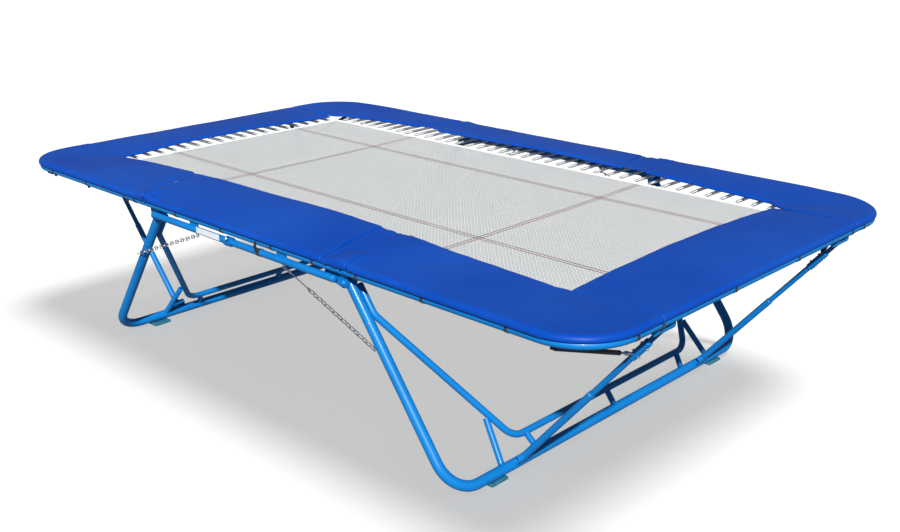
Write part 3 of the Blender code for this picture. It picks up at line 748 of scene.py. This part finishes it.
def gas_spring(end, side, s, sign, top, down):
    """Cylinder with its end fittings, and the rod with the bright cone of its ball socket."""
    start = Vector((s * GAS_TOP.x, sign * GAS_TOP.y, GAS_TOP.z))
    grip = top + down * GRIP_AT + Vector((0, sign * 0.0212, 0))
    way = (grip - start).normalized()
    length = (grip - start).length
    stop = length - 0.010
    open_end = stop - 0.060 - GAS_STROKE
    tube = Shape()
    r = 0.0125
    tube.lathe(start, way, [
        (-0.012, 0.0005), (-0.012, 0.004), (-0.009, 0.0075), (0.004, 0.0085), (0.010, 0.0085),
        (0.012, 0.0115), (0.015, r), (0.300, r), (open_end - 0.021, r), (open_end - 0.0195, r - 0.0009),
        (open_end - 0.017, r - 0.0009), (open_end - 0.0155, r), (open_end - 0.003, r),
        (open_end, 0.0105), (open_end, 0.0072), (0.240, 0.0072), (0.240, 0.0005),
    ], 28)
    tube.piece(
        f"gas_{end}_{side}_cylinder", f"gas_tube_{end}_{side}", [GAS_PAINT],
        replaces=[f"gas_cylinder_{end}_{side}"],
    )
    rod = Shape()
    rod.lathe(start, way, [
        (0.300, 0.0005), (0.300, 0.0062), (stop - 0.060, 0.0062), (stop - 0.059, 0.0100),
        (stop - 0.055, 0.0115), (stop - 0.046, 0.0115), (stop - 0.012, 0.0062),
        (stop - 0.002, 0.0045), (stop, 0.0035), (stop, 0.0005),
    ], 24)
    rod.piece(
        f"gas_{end}_{side}_rod", f"gas_plunger_{end}_{side}", [CHROME],
        replaces=[f"gas_rod_{end}_{side}"],
    )


# ---------------------------------------------------------------- chains

def link(shape, centre, way, across, inner, wire=0.0028, width=0.0100):
    """An oval chain link: half its inner length along way, its loop opened along across."""
    path = []
    straight = inner / 2 - width
    for i in range(24):
        angle = 2 * math.pi * i / 24
        shift = straight if math.cos(angle) >= 0 else -straight
        out = way * (shift + width * math.cos(angle)) + across * (width * math.sin(angle))
        path.append(centre + out)
    shape.loop(path, wire)


def chains():
    """Round steel chains; those of the right end start with a hook and a straight rod."""
    for end, side, s, sign in CORNERS:
        shape = Shape()
        start = Vector((s * CHAIN_TOP.x, sign * CHAIN_TOP.y, CHAIN_TOP.z))
        stop = Vector((s * CHAIN_LEG[0], sign * CHAIN_TOP.y, CHAIN_LEG[1]))
        way = (stop - start).normalized()
        flat = Vector((0, 1, 0))
        up = way.cross(flat)
        length = (stop - start).length
        at = 0.006
        link(shape, start + way * at, way, up, 0.030)
        at += 0.024
        if end == "right":
            link(shape, start + way * (at + 0.004), way, flat, 0.040, 0.0024, 0.0075)
            at += 0.028
            rod_end = at + HOOK_ROD
            shape.tube([start + way * at, start + way * rod_end], 0.0032, 12)
            for place in (at, rod_end):
                link(shape, start + way * place, way, up, 0.024, 0.0028, 0.0070)
            at += HOOK_ROD + 0.025
        count = int((length - at) / LINK_PITCH)
        spacing = (length - at) / count
        for i in range(count + 1):
            centre = start + way * (at + spacing * i)
            link(shape, centre, way, up if i % 2 else flat, 0.0400, 0.0029)
        name = f"chain_links_{end}_{side}"
        body = f"chain_{end}_{side}"
        shape.piece(name, body, [ZINC], replaces=[body])


# ---------------------------------------------------------------- bed

def bed_sag(x, y):
    """How far the stretched bed hangs under its own weight."""
    return 0.010 * (1 - (x / BED_X) ** 2) * (1 - (y / BED_Y) ** 2)


def bands(count, low):
    return [low + WEAVE_PITCH * (i + 0.5) for i in range(count)]


def is_red(place, middle):
    """The double line is the two bands on both sides of the one nearest to its middle."""
    return abs(abs(abs(place) - middle) - WEAVE_PITCH) < WEAVE_PITCH / 2


def weave(shape, places, stations, along_x):
    """Flat bands along one way, over and under those across them, and the red lines on them."""
    shift, middle = (0, RED_Y) if along_x else (1, RED_X)
    last = len(stations) - 1
    for k, place in enumerate(places):
        band, line = [], []
        for m, station in enumerate(stations):
            x, y = (station, place) if along_x else (place, station)
            rise = WEAVE_RISE * (1 if (k + m + shift) % 2 else -1) if 0 < m < last else 0
            z = RAIL_Z - bed_sag(x, y)
            for rows, height, wide in ((band, z + rise, WEAVE_BAND), (line, z + RED_RISE, RED_TAPE)):
                dx, dy = (0, wide / 2) if along_x else (wide / 2, 0)
                rows.append([(x - dx, y - dy, height), (x + dx, y + dy, height)])
        shape.grid(band)
        if is_red(place, middle):
            shape.grid(line, finish=1)


def bed():
    """Nylon bands woven over and under each other, in a left and a right half that meet at X = 0."""
    half_x, half_y = BED_X - 0.006, BED_Y - 0.006
    many = 2 * int(half_y / WEAVE_PITCH)
    ys = bands(many, -many * WEAVE_PITCH / 2)
    for end, s in ENDS.items():
        xs = [s * x for x in bands(int(half_x / WEAVE_PITCH), 0)]
        shape = Shape()
        weave(shape, ys, [0.0] + xs + [s * half_x], True)
        weave(shape, xs, [-half_y] + ys + [half_y], False)
        made = make_object(f"bed_{end}_half", shape, [WEB, WEB_RED], 60)
        start, stop = (s * (HINGE_X - BED_BEND), 0, RAIL_Z), (s * (HINGE_X + BED_BEND), 0, RAIL_Z)
        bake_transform(made)
        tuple(start)
        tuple(stop)
        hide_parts(f"bed_{end}", *(["bed_middle"] if end == "left" else []))
        hem = bed_hem(end, s)


def bed_hem(end, s):
    """The folded hem, two rows of stitches in it, and the zigzag cord that the springs hook into."""
    shape = Shape()
    corners = [(0.0, -BED_Y), (s * BED_X, -BED_Y), (s * BED_X, BED_Y), (0.0, BED_Y)]
    outs = [Vector((0, -1, 0)), Vector((s, 0, 0)), Vector((0, 1, 0))]
    for first, last, out in zip(corners, corners[1:], outs):
        a, b = Vector((*first, RAIL_Z)), Vector((*last, RAIL_Z))
        way = (b - a).normalized()
        length = (b - a).length
        steps = max(2, int(length / 0.02))
        middle = -out * (HEM / 2)
        path = [a + middle + way * (length * i / steps) for i in range(steps + 1)]
        shape.sweep(path, [
            (-HEM / 2, -0.002), (HEM / 2, -0.002), (HEM / 2 + 0.0008, 0),
            (HEM / 2, 0.002), (-HEM / 2, 0.002), (-HEM / 2 - 0.0008, 0),
        ])
        for inset in (0.006, 0.021):
            low = a - out * inset
            lift = Vector((0, 0, 0.0026))
            stitch = [low + way * (length * i / steps) + lift for i in range(steps + 1)]
            shape.tube(stitch, 0.0008, 5, chamfer=0.0002)
        teeth = int(length / (SPRING_PITCH / 3))
        zigzag = []
        for i in range(4 * teeth + 1):
            swing = 0.5 - 0.5 * math.cos(math.pi * i / 2)
            zigzag.append(a + way * (length * i / (4 * teeth)) + out * (0.0105 * swing - 0.001))
        shape.tube(zigzag, 0.0024, 6, chamfer=0.0005)
    made = make_object(f"hem_{end}", shape, [HEM_WHITE], 50)
    start, stop = (s * (HINGE_X - BED_BEND), 0, RAIL_Z), (s * (HINGE_X + BED_BEND), 0, RAIL_Z)
    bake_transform(made)
    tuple(start)
    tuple(stop)
    return made


# ---------------------------------------------------------------- springs

def spring_template(length):
    """A tension spring from its bed hook at 0 to its rail hook at length, along +X."""
    shape = Shape()
    radius, wire, hook = 0.0095, 0.0015, 0.0075
    low, high = 0.030, length - 0.030
    per_turn = 7
    count = int((high - low) / 0.0068) * per_turn
    path = []
    for i in range(6):
        angle = math.pi * (1.35 - 1.35 * i / 5) - math.pi / 2
        path.append((0.0085 - hook * math.cos(angle) * 0.9, 0, hook * math.sin(angle)))
    path.append((low - 0.006, 0, 0.002))
    for i in range(count + 1):
        angle = 2 * math.pi * i / per_turn
        grow = min(1.0, 0.35 + i / (2.0 * per_turn), 0.35 + (count - i) / (2.0 * per_turn))
        x = low + (high - low) * i / count
        path.append((x, radius * grow * math.sin(angle), radius * grow * math.cos(angle)))
    path.append((high + 0.006, 0, 0.002))
    for i in range(6):
        angle = math.pi * 1.35 * i / 5
        path.append((length - 0.0085 + hook * math.sin(angle) * 0.9, 0, hook * math.cos(angle)))
    shape.sweep(path, ring(wire, 5))
    return np.array(shape.points), shape.faces


def spring_group(name, body, replaces, seats):
    """Springs at (foot, outward direction, length) seats, joined into one piece."""
    shape = Shape()
    made = {}
    for foot, out, length in seats:
        if length not in made:
            made[length] = spring_template(length)
        points, faces = made[length]
        turn = np.array([list(out), [-out.y, out.x, 0], [0, 0, 1]])
        shape.add((points @ turn + np.array(foot)).tolist(), faces)
    shape.piece(name, body, [SPRING], 180, replaces)


def springs():
    side_length = SIDE_Y - RAIL_R - 0.004 - BED_Y
    end_length = END_X - RAIL_R - 0.004 - BED_X
    for side, sign in SIDES.items():
        seats = [
            ((x, sign * BED_Y, RAIL_Z), Vector((0, sign, 0)), side_length)
            for x in rail_hook_places(-MIDDLE_X, MIDDLE_X)
        ]
        spring_group(f"coils_middle_{side}", "middle", [f"springs_middle_{side}"], seats)
    for end, s in ENDS.items():
        seats = []
        for sign in SIDES.values():
            for x in rail_hook_places(MIDDLE_X + 0.016, BED_X):
                seats.append(((s * x, sign * BED_Y, RAIL_Z), Vector((0, sign, 0)), side_length))
        for y in rail_hook_places(-BED_Y, BED_Y):
            seats.append(((s * BED_X, y, RAIL_Z), Vector((s, 0, 0)), end_length))
        spring_group(f"coils_{end}", f"end_{end}", [f"springs_{end}"], seats)


# ---------------------------------------------------------------- pads

def smooth(t):
    t = min(1.0, max(0.0, t))
    return t * t * (3 - 2 * t)


def drift(x, y, scale, seed=0.0):
    return noise.noise(Vector((x * scale, y * scale, seed)))


def pad_height(x, y, seed=0.0):
    """Top of the pads at any place: raised inner edges, a crown over the rail, soft dents."""
    ax, ay = abs(x), abs(y)
    along_side = max(0.0, 1 - (ax / 2.1) ** 2)
    along_end = max(0.0, 1 - (ay / 1.0) ** 2)
    sign = 1 if y > 0 else -1
    edge = PAD_IN_Y[sign]
    t_side = min(1.0, max(0.0, (ay - edge) / (CROWN_Y - edge)))
    t_end = min(1.0, max(0.0, (ax - PAD_IN_X) / (OUT_X - PAD_ROLL - PAD_IN_X)))
    if ax < PAD_IN_X - 0.03:
        inner, t = INNER_Z + INNER_LIFT[sign] * along_side, t_side
    else:
        inner, t = INNER_Z + END_LIFT * along_end, max(t_side, t_end)
    inner += 0.012 * drift(x, y, 1.3, 3.0)
    crown = CROWN_Z + (FAR_FULLER * smooth((2.5 - ax) / 0.5) if sign > 0 else 0)
    level = inner + (crown - inner) * t ** 1.25 + 0.004 * math.sin(math.pi * t)
    return level + 0.0026 * drift(x, y, 2.6, seed) + 0.0010 * drift(x, y, 9.0, seed + 7)


def hinge_bump(x, y):
    """The covers rise over the hinge eyes."""
    away = abs(abs(x) - HINGE_X) / 0.075
    height = 0.022 if y < 0 else 0.022 - FAR_FULLER
    return height * math.exp(-away ** 2.5) * smooth((abs(y) - 1.27) / 0.13)


def hinge_clear(x, y):
    """Lowest height for the underside of a pad: the rail's top, or the hinge lug."""
    low = RAIL_Z + RAIL_R + RAIL_GAP
    ax = abs(x)
    if LUG_ROOM_X[0] < ax < LUG_ROOM_X[1] and abs(y) > LUG_ROOM_Y:
        low = max(low, min(LUG_ROOM_TOP, LUG_FALL_Z - (ax - LUG_FALL_X) * LUG_FALL))
    return low


def pad_section(inner, crown, out, options, fill=1.0):
    """The closed section of a pad at one station, from its inner rim over the top to its underside."""
    thin, lower, seed, lift = options
    thick = FILM if thin > 0.5 else PAD_T * (1 - thin) + FILM * thin
    inner, crown, out = Vector(inner), Vector(crown), Vector(out)
    span = crown - inner
    tops, unders = [], []
    rim = thick / 2

    def top_at(p):
        return pad_height(p.x, p.y, seed) + hinge_bump(p.x, p.y) - lower + lift

    count = 20
    for i in range(count + 1):
        t = i / count
        p = inner + span * (t ** 1.1)
        top = top_at(p)
        low = top - thick
        if thin < 0.5:
            low = max(hinge_clear(p.x, p.y), top - PAD_T)
        low = min(low, top - 0.003)
        squeeze = (1 - fill) * (top - low) / 2
        tops.append((p.x, p.y, top - squeeze))
        unders.append((p.x, p.y, low + squeeze))
    crown_z = top_at(crown)
    for i in range(1, 9):
        angle = math.pi / 2 * (1 - i / 8)
        ease = (1 - fill) * 0.006
        reach = (PAD_ROLL - ease) * math.cos(angle)
        p = crown + out * reach
        z = crown_z - PAD_ROLL + PAD_ROLL * math.sin(angle) - ease
        tops.append((p.x, p.y, z))
        foam = crown + out * min(reach, PAD_ROLL - EDGE_SKIN)
        foam_z = max(hinge_clear(foam.x, foam.y), z - PAD_T)
        film = crown + out * ((PAD_ROLL - FILM) * math.cos(angle))
        film_z = crown_z - PAD_ROLL + (PAD_ROLL - FILM) * math.sin(angle)
        low = foam.lerp(film, thin)
        low_z = foam_z * (1 - thin) + film_z * thin
        unders.append((low.x, low.y, min(low_z, z - 0.0005) if angle > 0.3 else low_z))
    edge = crown + out * PAD_ROLL
    skin = EDGE_SKIN * (1 - thin) + FILM * thin
    tip = [
        (edge - out * 0.0004, PAD_HANG + 0.0030), (edge - out * (skin * 0.3), PAD_HANG),
        (edge - out * (skin * 0.7), PAD_HANG), (edge - out * skin, PAD_HANG + 0.0030),
    ]
    tip = [(p.x, p.y, z) for p, z in tip]
    way = span.normalized()
    start_top, start_low = tops[0][2], unders[0][2]
    middle, half = (start_top + start_low) / 2, (start_top - start_low) / 2
    rims = []
    for i in range(1, 6):
        angle = math.pi * i / 6
        p = inner - way * (rim * math.sin(angle))
        rims.append((p.x, p.y, middle - half * math.cos(angle)))
    return rims + tops + tip + unders[::-1]


def pad(name, body, replaces, stations, hems=(0.0, 0.0), seed=0.0, lift=0.0, thin=0.0, lower=0.0, ripple=None):
    """A pad lofted through stations(v) -> inner edge, crown, outward direction, for v from 0 to 1."""
    middle = [stations(i / 24) for i in range(25)]
    length = sum((Vector(b[1]) - Vector(a[1])).length for a, b in zip(middle, middle[1:]))
    rounding = 0.006 if thin < 0.5 else 0.002
    ends = [(rounding * (1 - math.cos(a)), math.sin(a)) for a in (0.10, 0.5, 0.95)]
    places = [(d / length, fill) for d, fill in ends]
    count = max(8, int(length / 0.014))
    places += [
        ((rounding + (length - 2 * rounding) * i / count) / length, 1.0) for i in range(count + 1)
    ]
    places += [(1 - d / length, fill) for d, fill in reversed(ends)]
    rows = []
    for v, fill in places:
        inner, crown, out = stations(v)
        hem = thin
        for distance, width in ((v * length, hems[0]), ((1 - v) * length, hems[1])):
            if width:
                hem = max(hem, 1 - smooth((distance - width + 0.008) / 0.016))
        drop = lower + 0.007 * (hem if thin < 0.5 else 0)
        section = pad_section(inner, crown, out, (hem, drop, seed, lift), fill)
        if ripple:
            section = [(x, y, z + ripple(x, y, v)) for x, y, z in section]
        rows.append(section)
    shape = Shape()
    shape.grid(rows, True, capped=True)
    return shape.piece(name, body, [VINYL], 70, replaces)


OUT_X = END_X + 0.029
CROWN_Y = PAD_OUT_Y - PAD_ROLL
PAD_CORNER_R = CORNER_R + 0.040
CORNER_AT = (OUT_X - PAD_CORNER_R, PAD_OUT_Y - PAD_CORNER_R)
SEAM_Y = 0.965

# Where each pad of the long sides ends, as (x at the outer edge, x at the inner edge), by hinge
MIDDLE_ENDS = {("left", "near"): (0.885, 0.885), ("right", "near"): (0.800, 0.740),
               ("left", "far"): (0.885, 0.885), ("right", "far"): (0.760, 0.880)}
END_STARTS = {("left", "near"): (0.958, 1.090), ("right", "near"): (1.012, 0.972),
              ("left", "far"): (0.958, 1.060), ("right", "far"): (1.010, 1.080)}


def wavy(x, y, seed):
    return 0.006 * drift(x, y, 3.1, seed)


def middle_pad_stations(side, sign, seed):
    left_out, left_in = MIDDLE_ENDS["left", side]
    right_out, right_in = MIDDLE_ENDS["right", side]

    def stations(v):
        inner_x = -left_in + (right_in + left_in) * v
        crown_x = -left_out + (right_out + left_out) * v
        inner = (inner_x, sign * (PAD_IN_Y[sign] + wavy(inner_x, sign, seed)))
        return inner, (crown_x, sign * CROWN_Y), (0.0, float(sign))

    return stations


def corner_pad_stations(end, side, s, sign, seed):
    """From the hinge along the side, round the corner, to the seam with the end pad."""
    start_out, start_in = END_STARTS[end, side]
    radius = PAD_CORNER_R - PAD_ROLL
    straight = CORNER_AT[0] - start_out
    turn = math.pi / 2 * radius
    rest = CORNER_AT[1] - SEAM_Y
    total = straight + turn + rest
    first, second = straight / total, (straight + turn) / total

    def stations(v):
        if v < first:
            t = v / first
            crown = (start_out + straight * t, CROWN_Y)
            out = (0.0, 1.0)
            inner = (start_in + (2.00 - start_in) * t, PAD_IN_Y[sign])
        else:
            w = (v - first) / (1 - first)
            a = Vector((2.00, PAD_IN_Y[sign]))
            b, c = Vector((2.13, SEAM_Y - 0.005)), Vector((2.41, SEAM_Y))
            inner = tuple(a * (1 - w) ** 2 + b * (2 * w * (1 - w)) + c * w * w)
            if v < second:
                angle = math.pi / 2 * (1 - (v - first) / (second - first))
                out = (math.cos(angle), math.sin(angle))
                crown = (CORNER_AT[0] + radius * out[0], CORNER_AT[1] + radius * out[1])
            else:
                t = (v - second) / (1 - second)
                crown = (OUT_X - PAD_ROLL, CORNER_AT[1] - rest * t)
                out = (1.0, 0.0)
        inner = (inner[0], inner[1] + wavy(inner[0], sign * 3, seed) * (1 if v < first else 0.3))
        return (s * inner[0], sign * inner[1]), (s * crown[0], sign * crown[1]), (s * out[0], sign * out[1])

    return stations


def end_pad_stations(s, seed):
    half = SEAM_Y - 0.005

    def stations(v):
        y = -half + 2 * half * v
        x = PAD_IN_X - 0.010 + wavy(s, y, seed)
        return (s * x, y), (s * (OUT_X - PAD_ROLL), y), (float(s), 0.0)

    return stations


def cover_stations(end, side, s, sign):
    """The cover over a hinge, from the middle pad's end to the end section's pad."""
    from_out, from_in = MIDDLE_ENDS[end, side]
    to_out, to_in = END_STARTS[end, side]
    gap = 0.014 if end == "left" else 0.005

    def stations(v):
        inner_x = s * (from_in + (to_in - gap - from_in) * v)
        crown_x = s * (from_out + (to_out - gap - from_out) * v)
        return (inner_x, sign * PAD_IN_Y[sign]), (crown_x, sign * CROWN_Y), (0.0, float(sign))

    return stations


def wrinkles(x, y, v):
    """Folds that run along a slack cover, with a flat raised hem at its far edge."""
    if v > 0.80:
        return 0.004 * smooth((v - 0.80) / 0.03)
    wave = math.sin(2 * math.pi * (v * 3.2 + 0.5 * drift(x, y, 5.0, 3.0)))
    return 0.0028 * wave * smooth(v / 0.1) * smooth((0.8 - v) / 0.1)


def pads():
    for side, sign in SIDES.items():
        seed = 10.0 + 5 * sign
        made = pad(f"cushion_middle_{side}", "middle", [f"pad_middle_{side}"],
                   middle_pad_stations(side, sign, seed), seed=seed)
        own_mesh(made)
    for end, s in ENDS.items():
        for side, sign in SIDES.items():
            seed = 20.0 + 3 * s + 7 * sign
            hem = 0.062 if end == "left" else 0.0
            made = pad(f"cushion_{end}_{side}", f"end_{end}", [f"pad_{end}_{side}"],
                       corner_pad_stations(end, side, s, sign, seed), hems=(hem, 0.0), seed=seed, lift=0.003)
            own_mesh(made)
            cover(end, side, s, sign)
        seed = 40.0 + s
        made = pad(f"cushion_{end}_end", f"end_{end}", [f"pad_{end}_end"],
                   end_pad_stations(s, seed), seed=seed)
        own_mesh(made)


def cover(end, side, s, sign):
    slack = end == "right"
    stations = cover_stations(end, side, s, sign)
    made = pad(
        f"hinge_cover_{end}_{side}", None, [], stations, seed=60.0 + s + 2 * sign, thin=1.0,
        lower=0.006 if slack else 0.001, ripple=wrinkles if slack else None,
    )
    start, stop = (s * (HINGE_X - COVER_BEND), 0, HINGE_Z), (s * (HINGE_X + COVER_BEND), 0, HINGE_Z)
    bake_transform(made)
    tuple(start)
    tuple(stop)


# ---------------------------------------------------------------- straps, clips and small parts

def strap(shape, centre, axis, up, radius=RAIL_R, wide=0.018, knot=0.0):
    """A webbing strap round a rail, with its two ends side by side going up to the pad."""
    centre, axis, up = Vector(centre), Vector(axis), Vector(up)
    side = axis.cross(up)
    half, skin, lift = wide / 2, 0.0018, radius + 0.0006
    rows = []
    for i in range(25):
        angle = 2 * math.pi * i / 24
        way = side * math.cos(angle) + up * math.sin(angle)
        rows.append([
            centre + axis * a + way * (lift + b)
            for a, b in ((-half, 0), (half, 0), (half, skin), (-half, skin))
        ])
    shape.grid(rows[:-1] + [rows[0]], True)
    turn = Matrix((axis, side, up)).transposed()
    shape.block(centre + side * (radius + 0.003) - up * 0.004, (wide * 0.8, 0.004, 0.016), turn, 0.0012)
    if knot:
        shape.block(centre - up * (radius + knot / 2), (wide, 0.016, knot), turn, 0.004)


def straps():
    """Straps that hold the pads to the rails."""
    for end, s in ENDS.items():
        shape = Shape()
        for y in (-1.148, -0.955, -0.331, 0.307, 0.932, 1.079):
            strap(shape, (s * END_X, y, RAIL_Z), (0, s, 0), (0, 0, 1))
        for sign in SIDES.values():
            for x in (1.075, 1.196, 1.696, 2.164) if end == "left" else (1.075, 1.555, 2.10):
                knot = 0.016 if end == "left" and x > 1.1 else 0.0
                strap(shape, (s * x, sign * SIDE_Y, RAIL_Z), (-sign, 0, 0), (0, 0, 1), knot=knot)
        shape.piece(f"pad_straps_{end}", f"end_{end}", [STRAP])
    shape = Shape()
    for sign in SIDES.values():
        for x in (-0.60, -0.12, 0.36, 0.72):
            strap(shape, (x, sign * SIDE_Y, RAIL_Z), (-sign, 0, 0), (0, 0, 1))
    x, face = 0.232, SIDE_Y + RAIL_R
    for sign in SIDES.values():
        strap(shape, (x, sign * SIDE_Y, LOW_RAIL_Z), (-sign, 0, 0), (0, 0, 1), wide=0.022)
        tail = [
            (x - 0.004, sign * (face + 0.004), LOW_RAIL_Z + 0.012),
            (x - 0.010, sign * (face + 0.008), LOW_RAIL_Z + 0.040),
            (x - 0.004, sign * (face + 0.004), LOW_RAIL_Z + 0.072),
        ]
        shape.sweep(tail, [(-0.009, -0.0012), (0.009, -0.0012), (0.009, 0.0012), (-0.009, 0.0012)])
    shape.piece("pad_straps_middle", "middle", [STRAP])


def small_parts():
    """Plates and brackets keep the frame's own shapes and get finished surfaces and fasteners."""
    for end, side, _, _ in CORNERS:
        finish_node(f"corner_plate_{end}_{side}", PAINT)
        foot(end, side)
    for side in SIDES:
        finish_node(f"roller_bracket_{side}", PAINT)
    finish_node("name_plate", LABEL)
    for side, sign in SIDES.items():
        shape = Shape()
        low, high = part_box(f"roller_bracket_{side}")
        middle = (low + high) / 2
        place = Vector((middle.x + 0.014, sign * (SIDE_Y + 0.030), LOW_RAIL_Z + 0.026))
        hex_bolt(shape, place, (0.45, sign * 0.85, 0.28), 0.012, 0.004, 0.0072)
        shape.piece(f"roller_bolt_{side}", "middle", [ZINC])


def finish_node(name, finish):
    node = frame["nodes"][name]
    node.data.materials.clear()
    node.data.materials.append(finish)
    edge = node.modifiers.new("soft_edges", "BEVEL")
    edge.width = 0.0008
    edge.segments = 2
    edge.limit_method = "ANGLE"


def foot(end, side):
    """A pad of soft rubber under the bottom bar, with ribs on its sides."""
    name = f"foot_pad_{end}_{side}"
    low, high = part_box(name)
    centre, size = (low + high) / 2, high - low
    shape = Shape()
    shape.block(centre, size, edge=0.004)
    ribs = 6
    for i in range(ribs):
        y = low.y + size.y * (i + 0.5) / ribs
        for way in (-1, 1):
            x = centre.x + way * size.x / 2
            shape.block((x, y, centre.z), (0.003, size.y / ribs * 0.55, size.z * 0.7), edge=0.0008)
    shape.piece(f"foot_{end}_{side}", f"leg_{end}", [RUBBER], replaces=[name])


# ---------------------------------------------------------------- stage

def camera():
    data = bpy.data.cameras.new("camera")
    data.sensor_width = 36.0
    data.lens = 43.89
    data.shift_x, data.shift_y = -0.0247, 0.0040
    data.clip_end = 200.0
    made = bpy.data.objects.new("camera", data)
    bpy.context.scene.collection.objects.link(made)
    made.location = (5.1368, -4.8653, 3.0139)
    made.rotation_euler = Euler((math.radians(70.5982), math.radians(0.4171), math.radians(43.5286)))
    bpy.context.scene.camera = made


def floor():
    mesh = bpy.data.meshes.new("floor")
    reach = 120.0
    points = [(-reach, -reach, 0), (reach, -reach, 0), (reach, reach, 0), (-reach, reach, 0)]
    mesh.from_pydata(points, [], [(0, 1, 2, 3)])
    made = bpy.data.objects.new("floor", mesh)
    bpy.context.scene.collection.objects.link(made)
    paper = Finish("pale_floor", (0.60, 0.60, 0.59), 1.0)
    paper.set("Specular IOR Level", 0.0)
    paper.set("Emission Color", (1.0, 0.995, 0.965, 1.0))
    paper.set("Emission Strength", FLOOR_GLOW)
    mesh.materials.append(paper.made)
    made.visible_diffuse = False
    made.visible_glossy = False
    return made


def sun(name, towards, strength, spread, color=(1, 1, 1)):
    data = bpy.data.lights.new(name, "SUN")
    data.energy = strength
    data.angle = math.radians(spread)
    data.color = color
    made = bpy.data.objects.new(name, data)
    made.rotation_euler = Vector(towards).to_track_quat("Z", "Y").to_euler()
    bpy.context.scene.collection.objects.link(made)
    return made


def only_on(light, ground, include):
    """Lets a studio light fall on the floor only, or on everything but the floor."""
    group = bpy.data.collections.new(f"{light.name}_receivers")
    light.light_linking.receiver_collection = group
    group.objects.link(ground)
    if not include:
        group.collection_objects[0].light_linking.link_state = "EXCLUDE"


def lights():
    ground = floor()
    world = bpy.data.worlds.new("studio")
    bpy.context.scene.world = world
    world.use_nodes = True
    sky = world.node_tree.nodes["Background"].inputs
    sky["Color"].default_value = (0.86, 0.93, 1.0, 1.0)
    sky["Strength"].default_value = 0.20
    key = sun("key", (0.55, -0.58, 0.60), 5.4, 1.5, (1.0, 0.98, 0.95))
    only_on(key, ground, False)
    over = sun("overhead", (0.30, 0.16, 1.0), 3.0, 27.0)
    only_on(over, ground, True)
    bpy.context.scene.view_settings.view_transform = "Standard"


# ---------------------------------------------------------------- the whole object

camera()
lights()
upper_rails()
lower_rails()
end_rails()
hinge_bolts()
leg_frames()
braces()
chains()
springs()
bed()
pads()
straps()
small_parts()
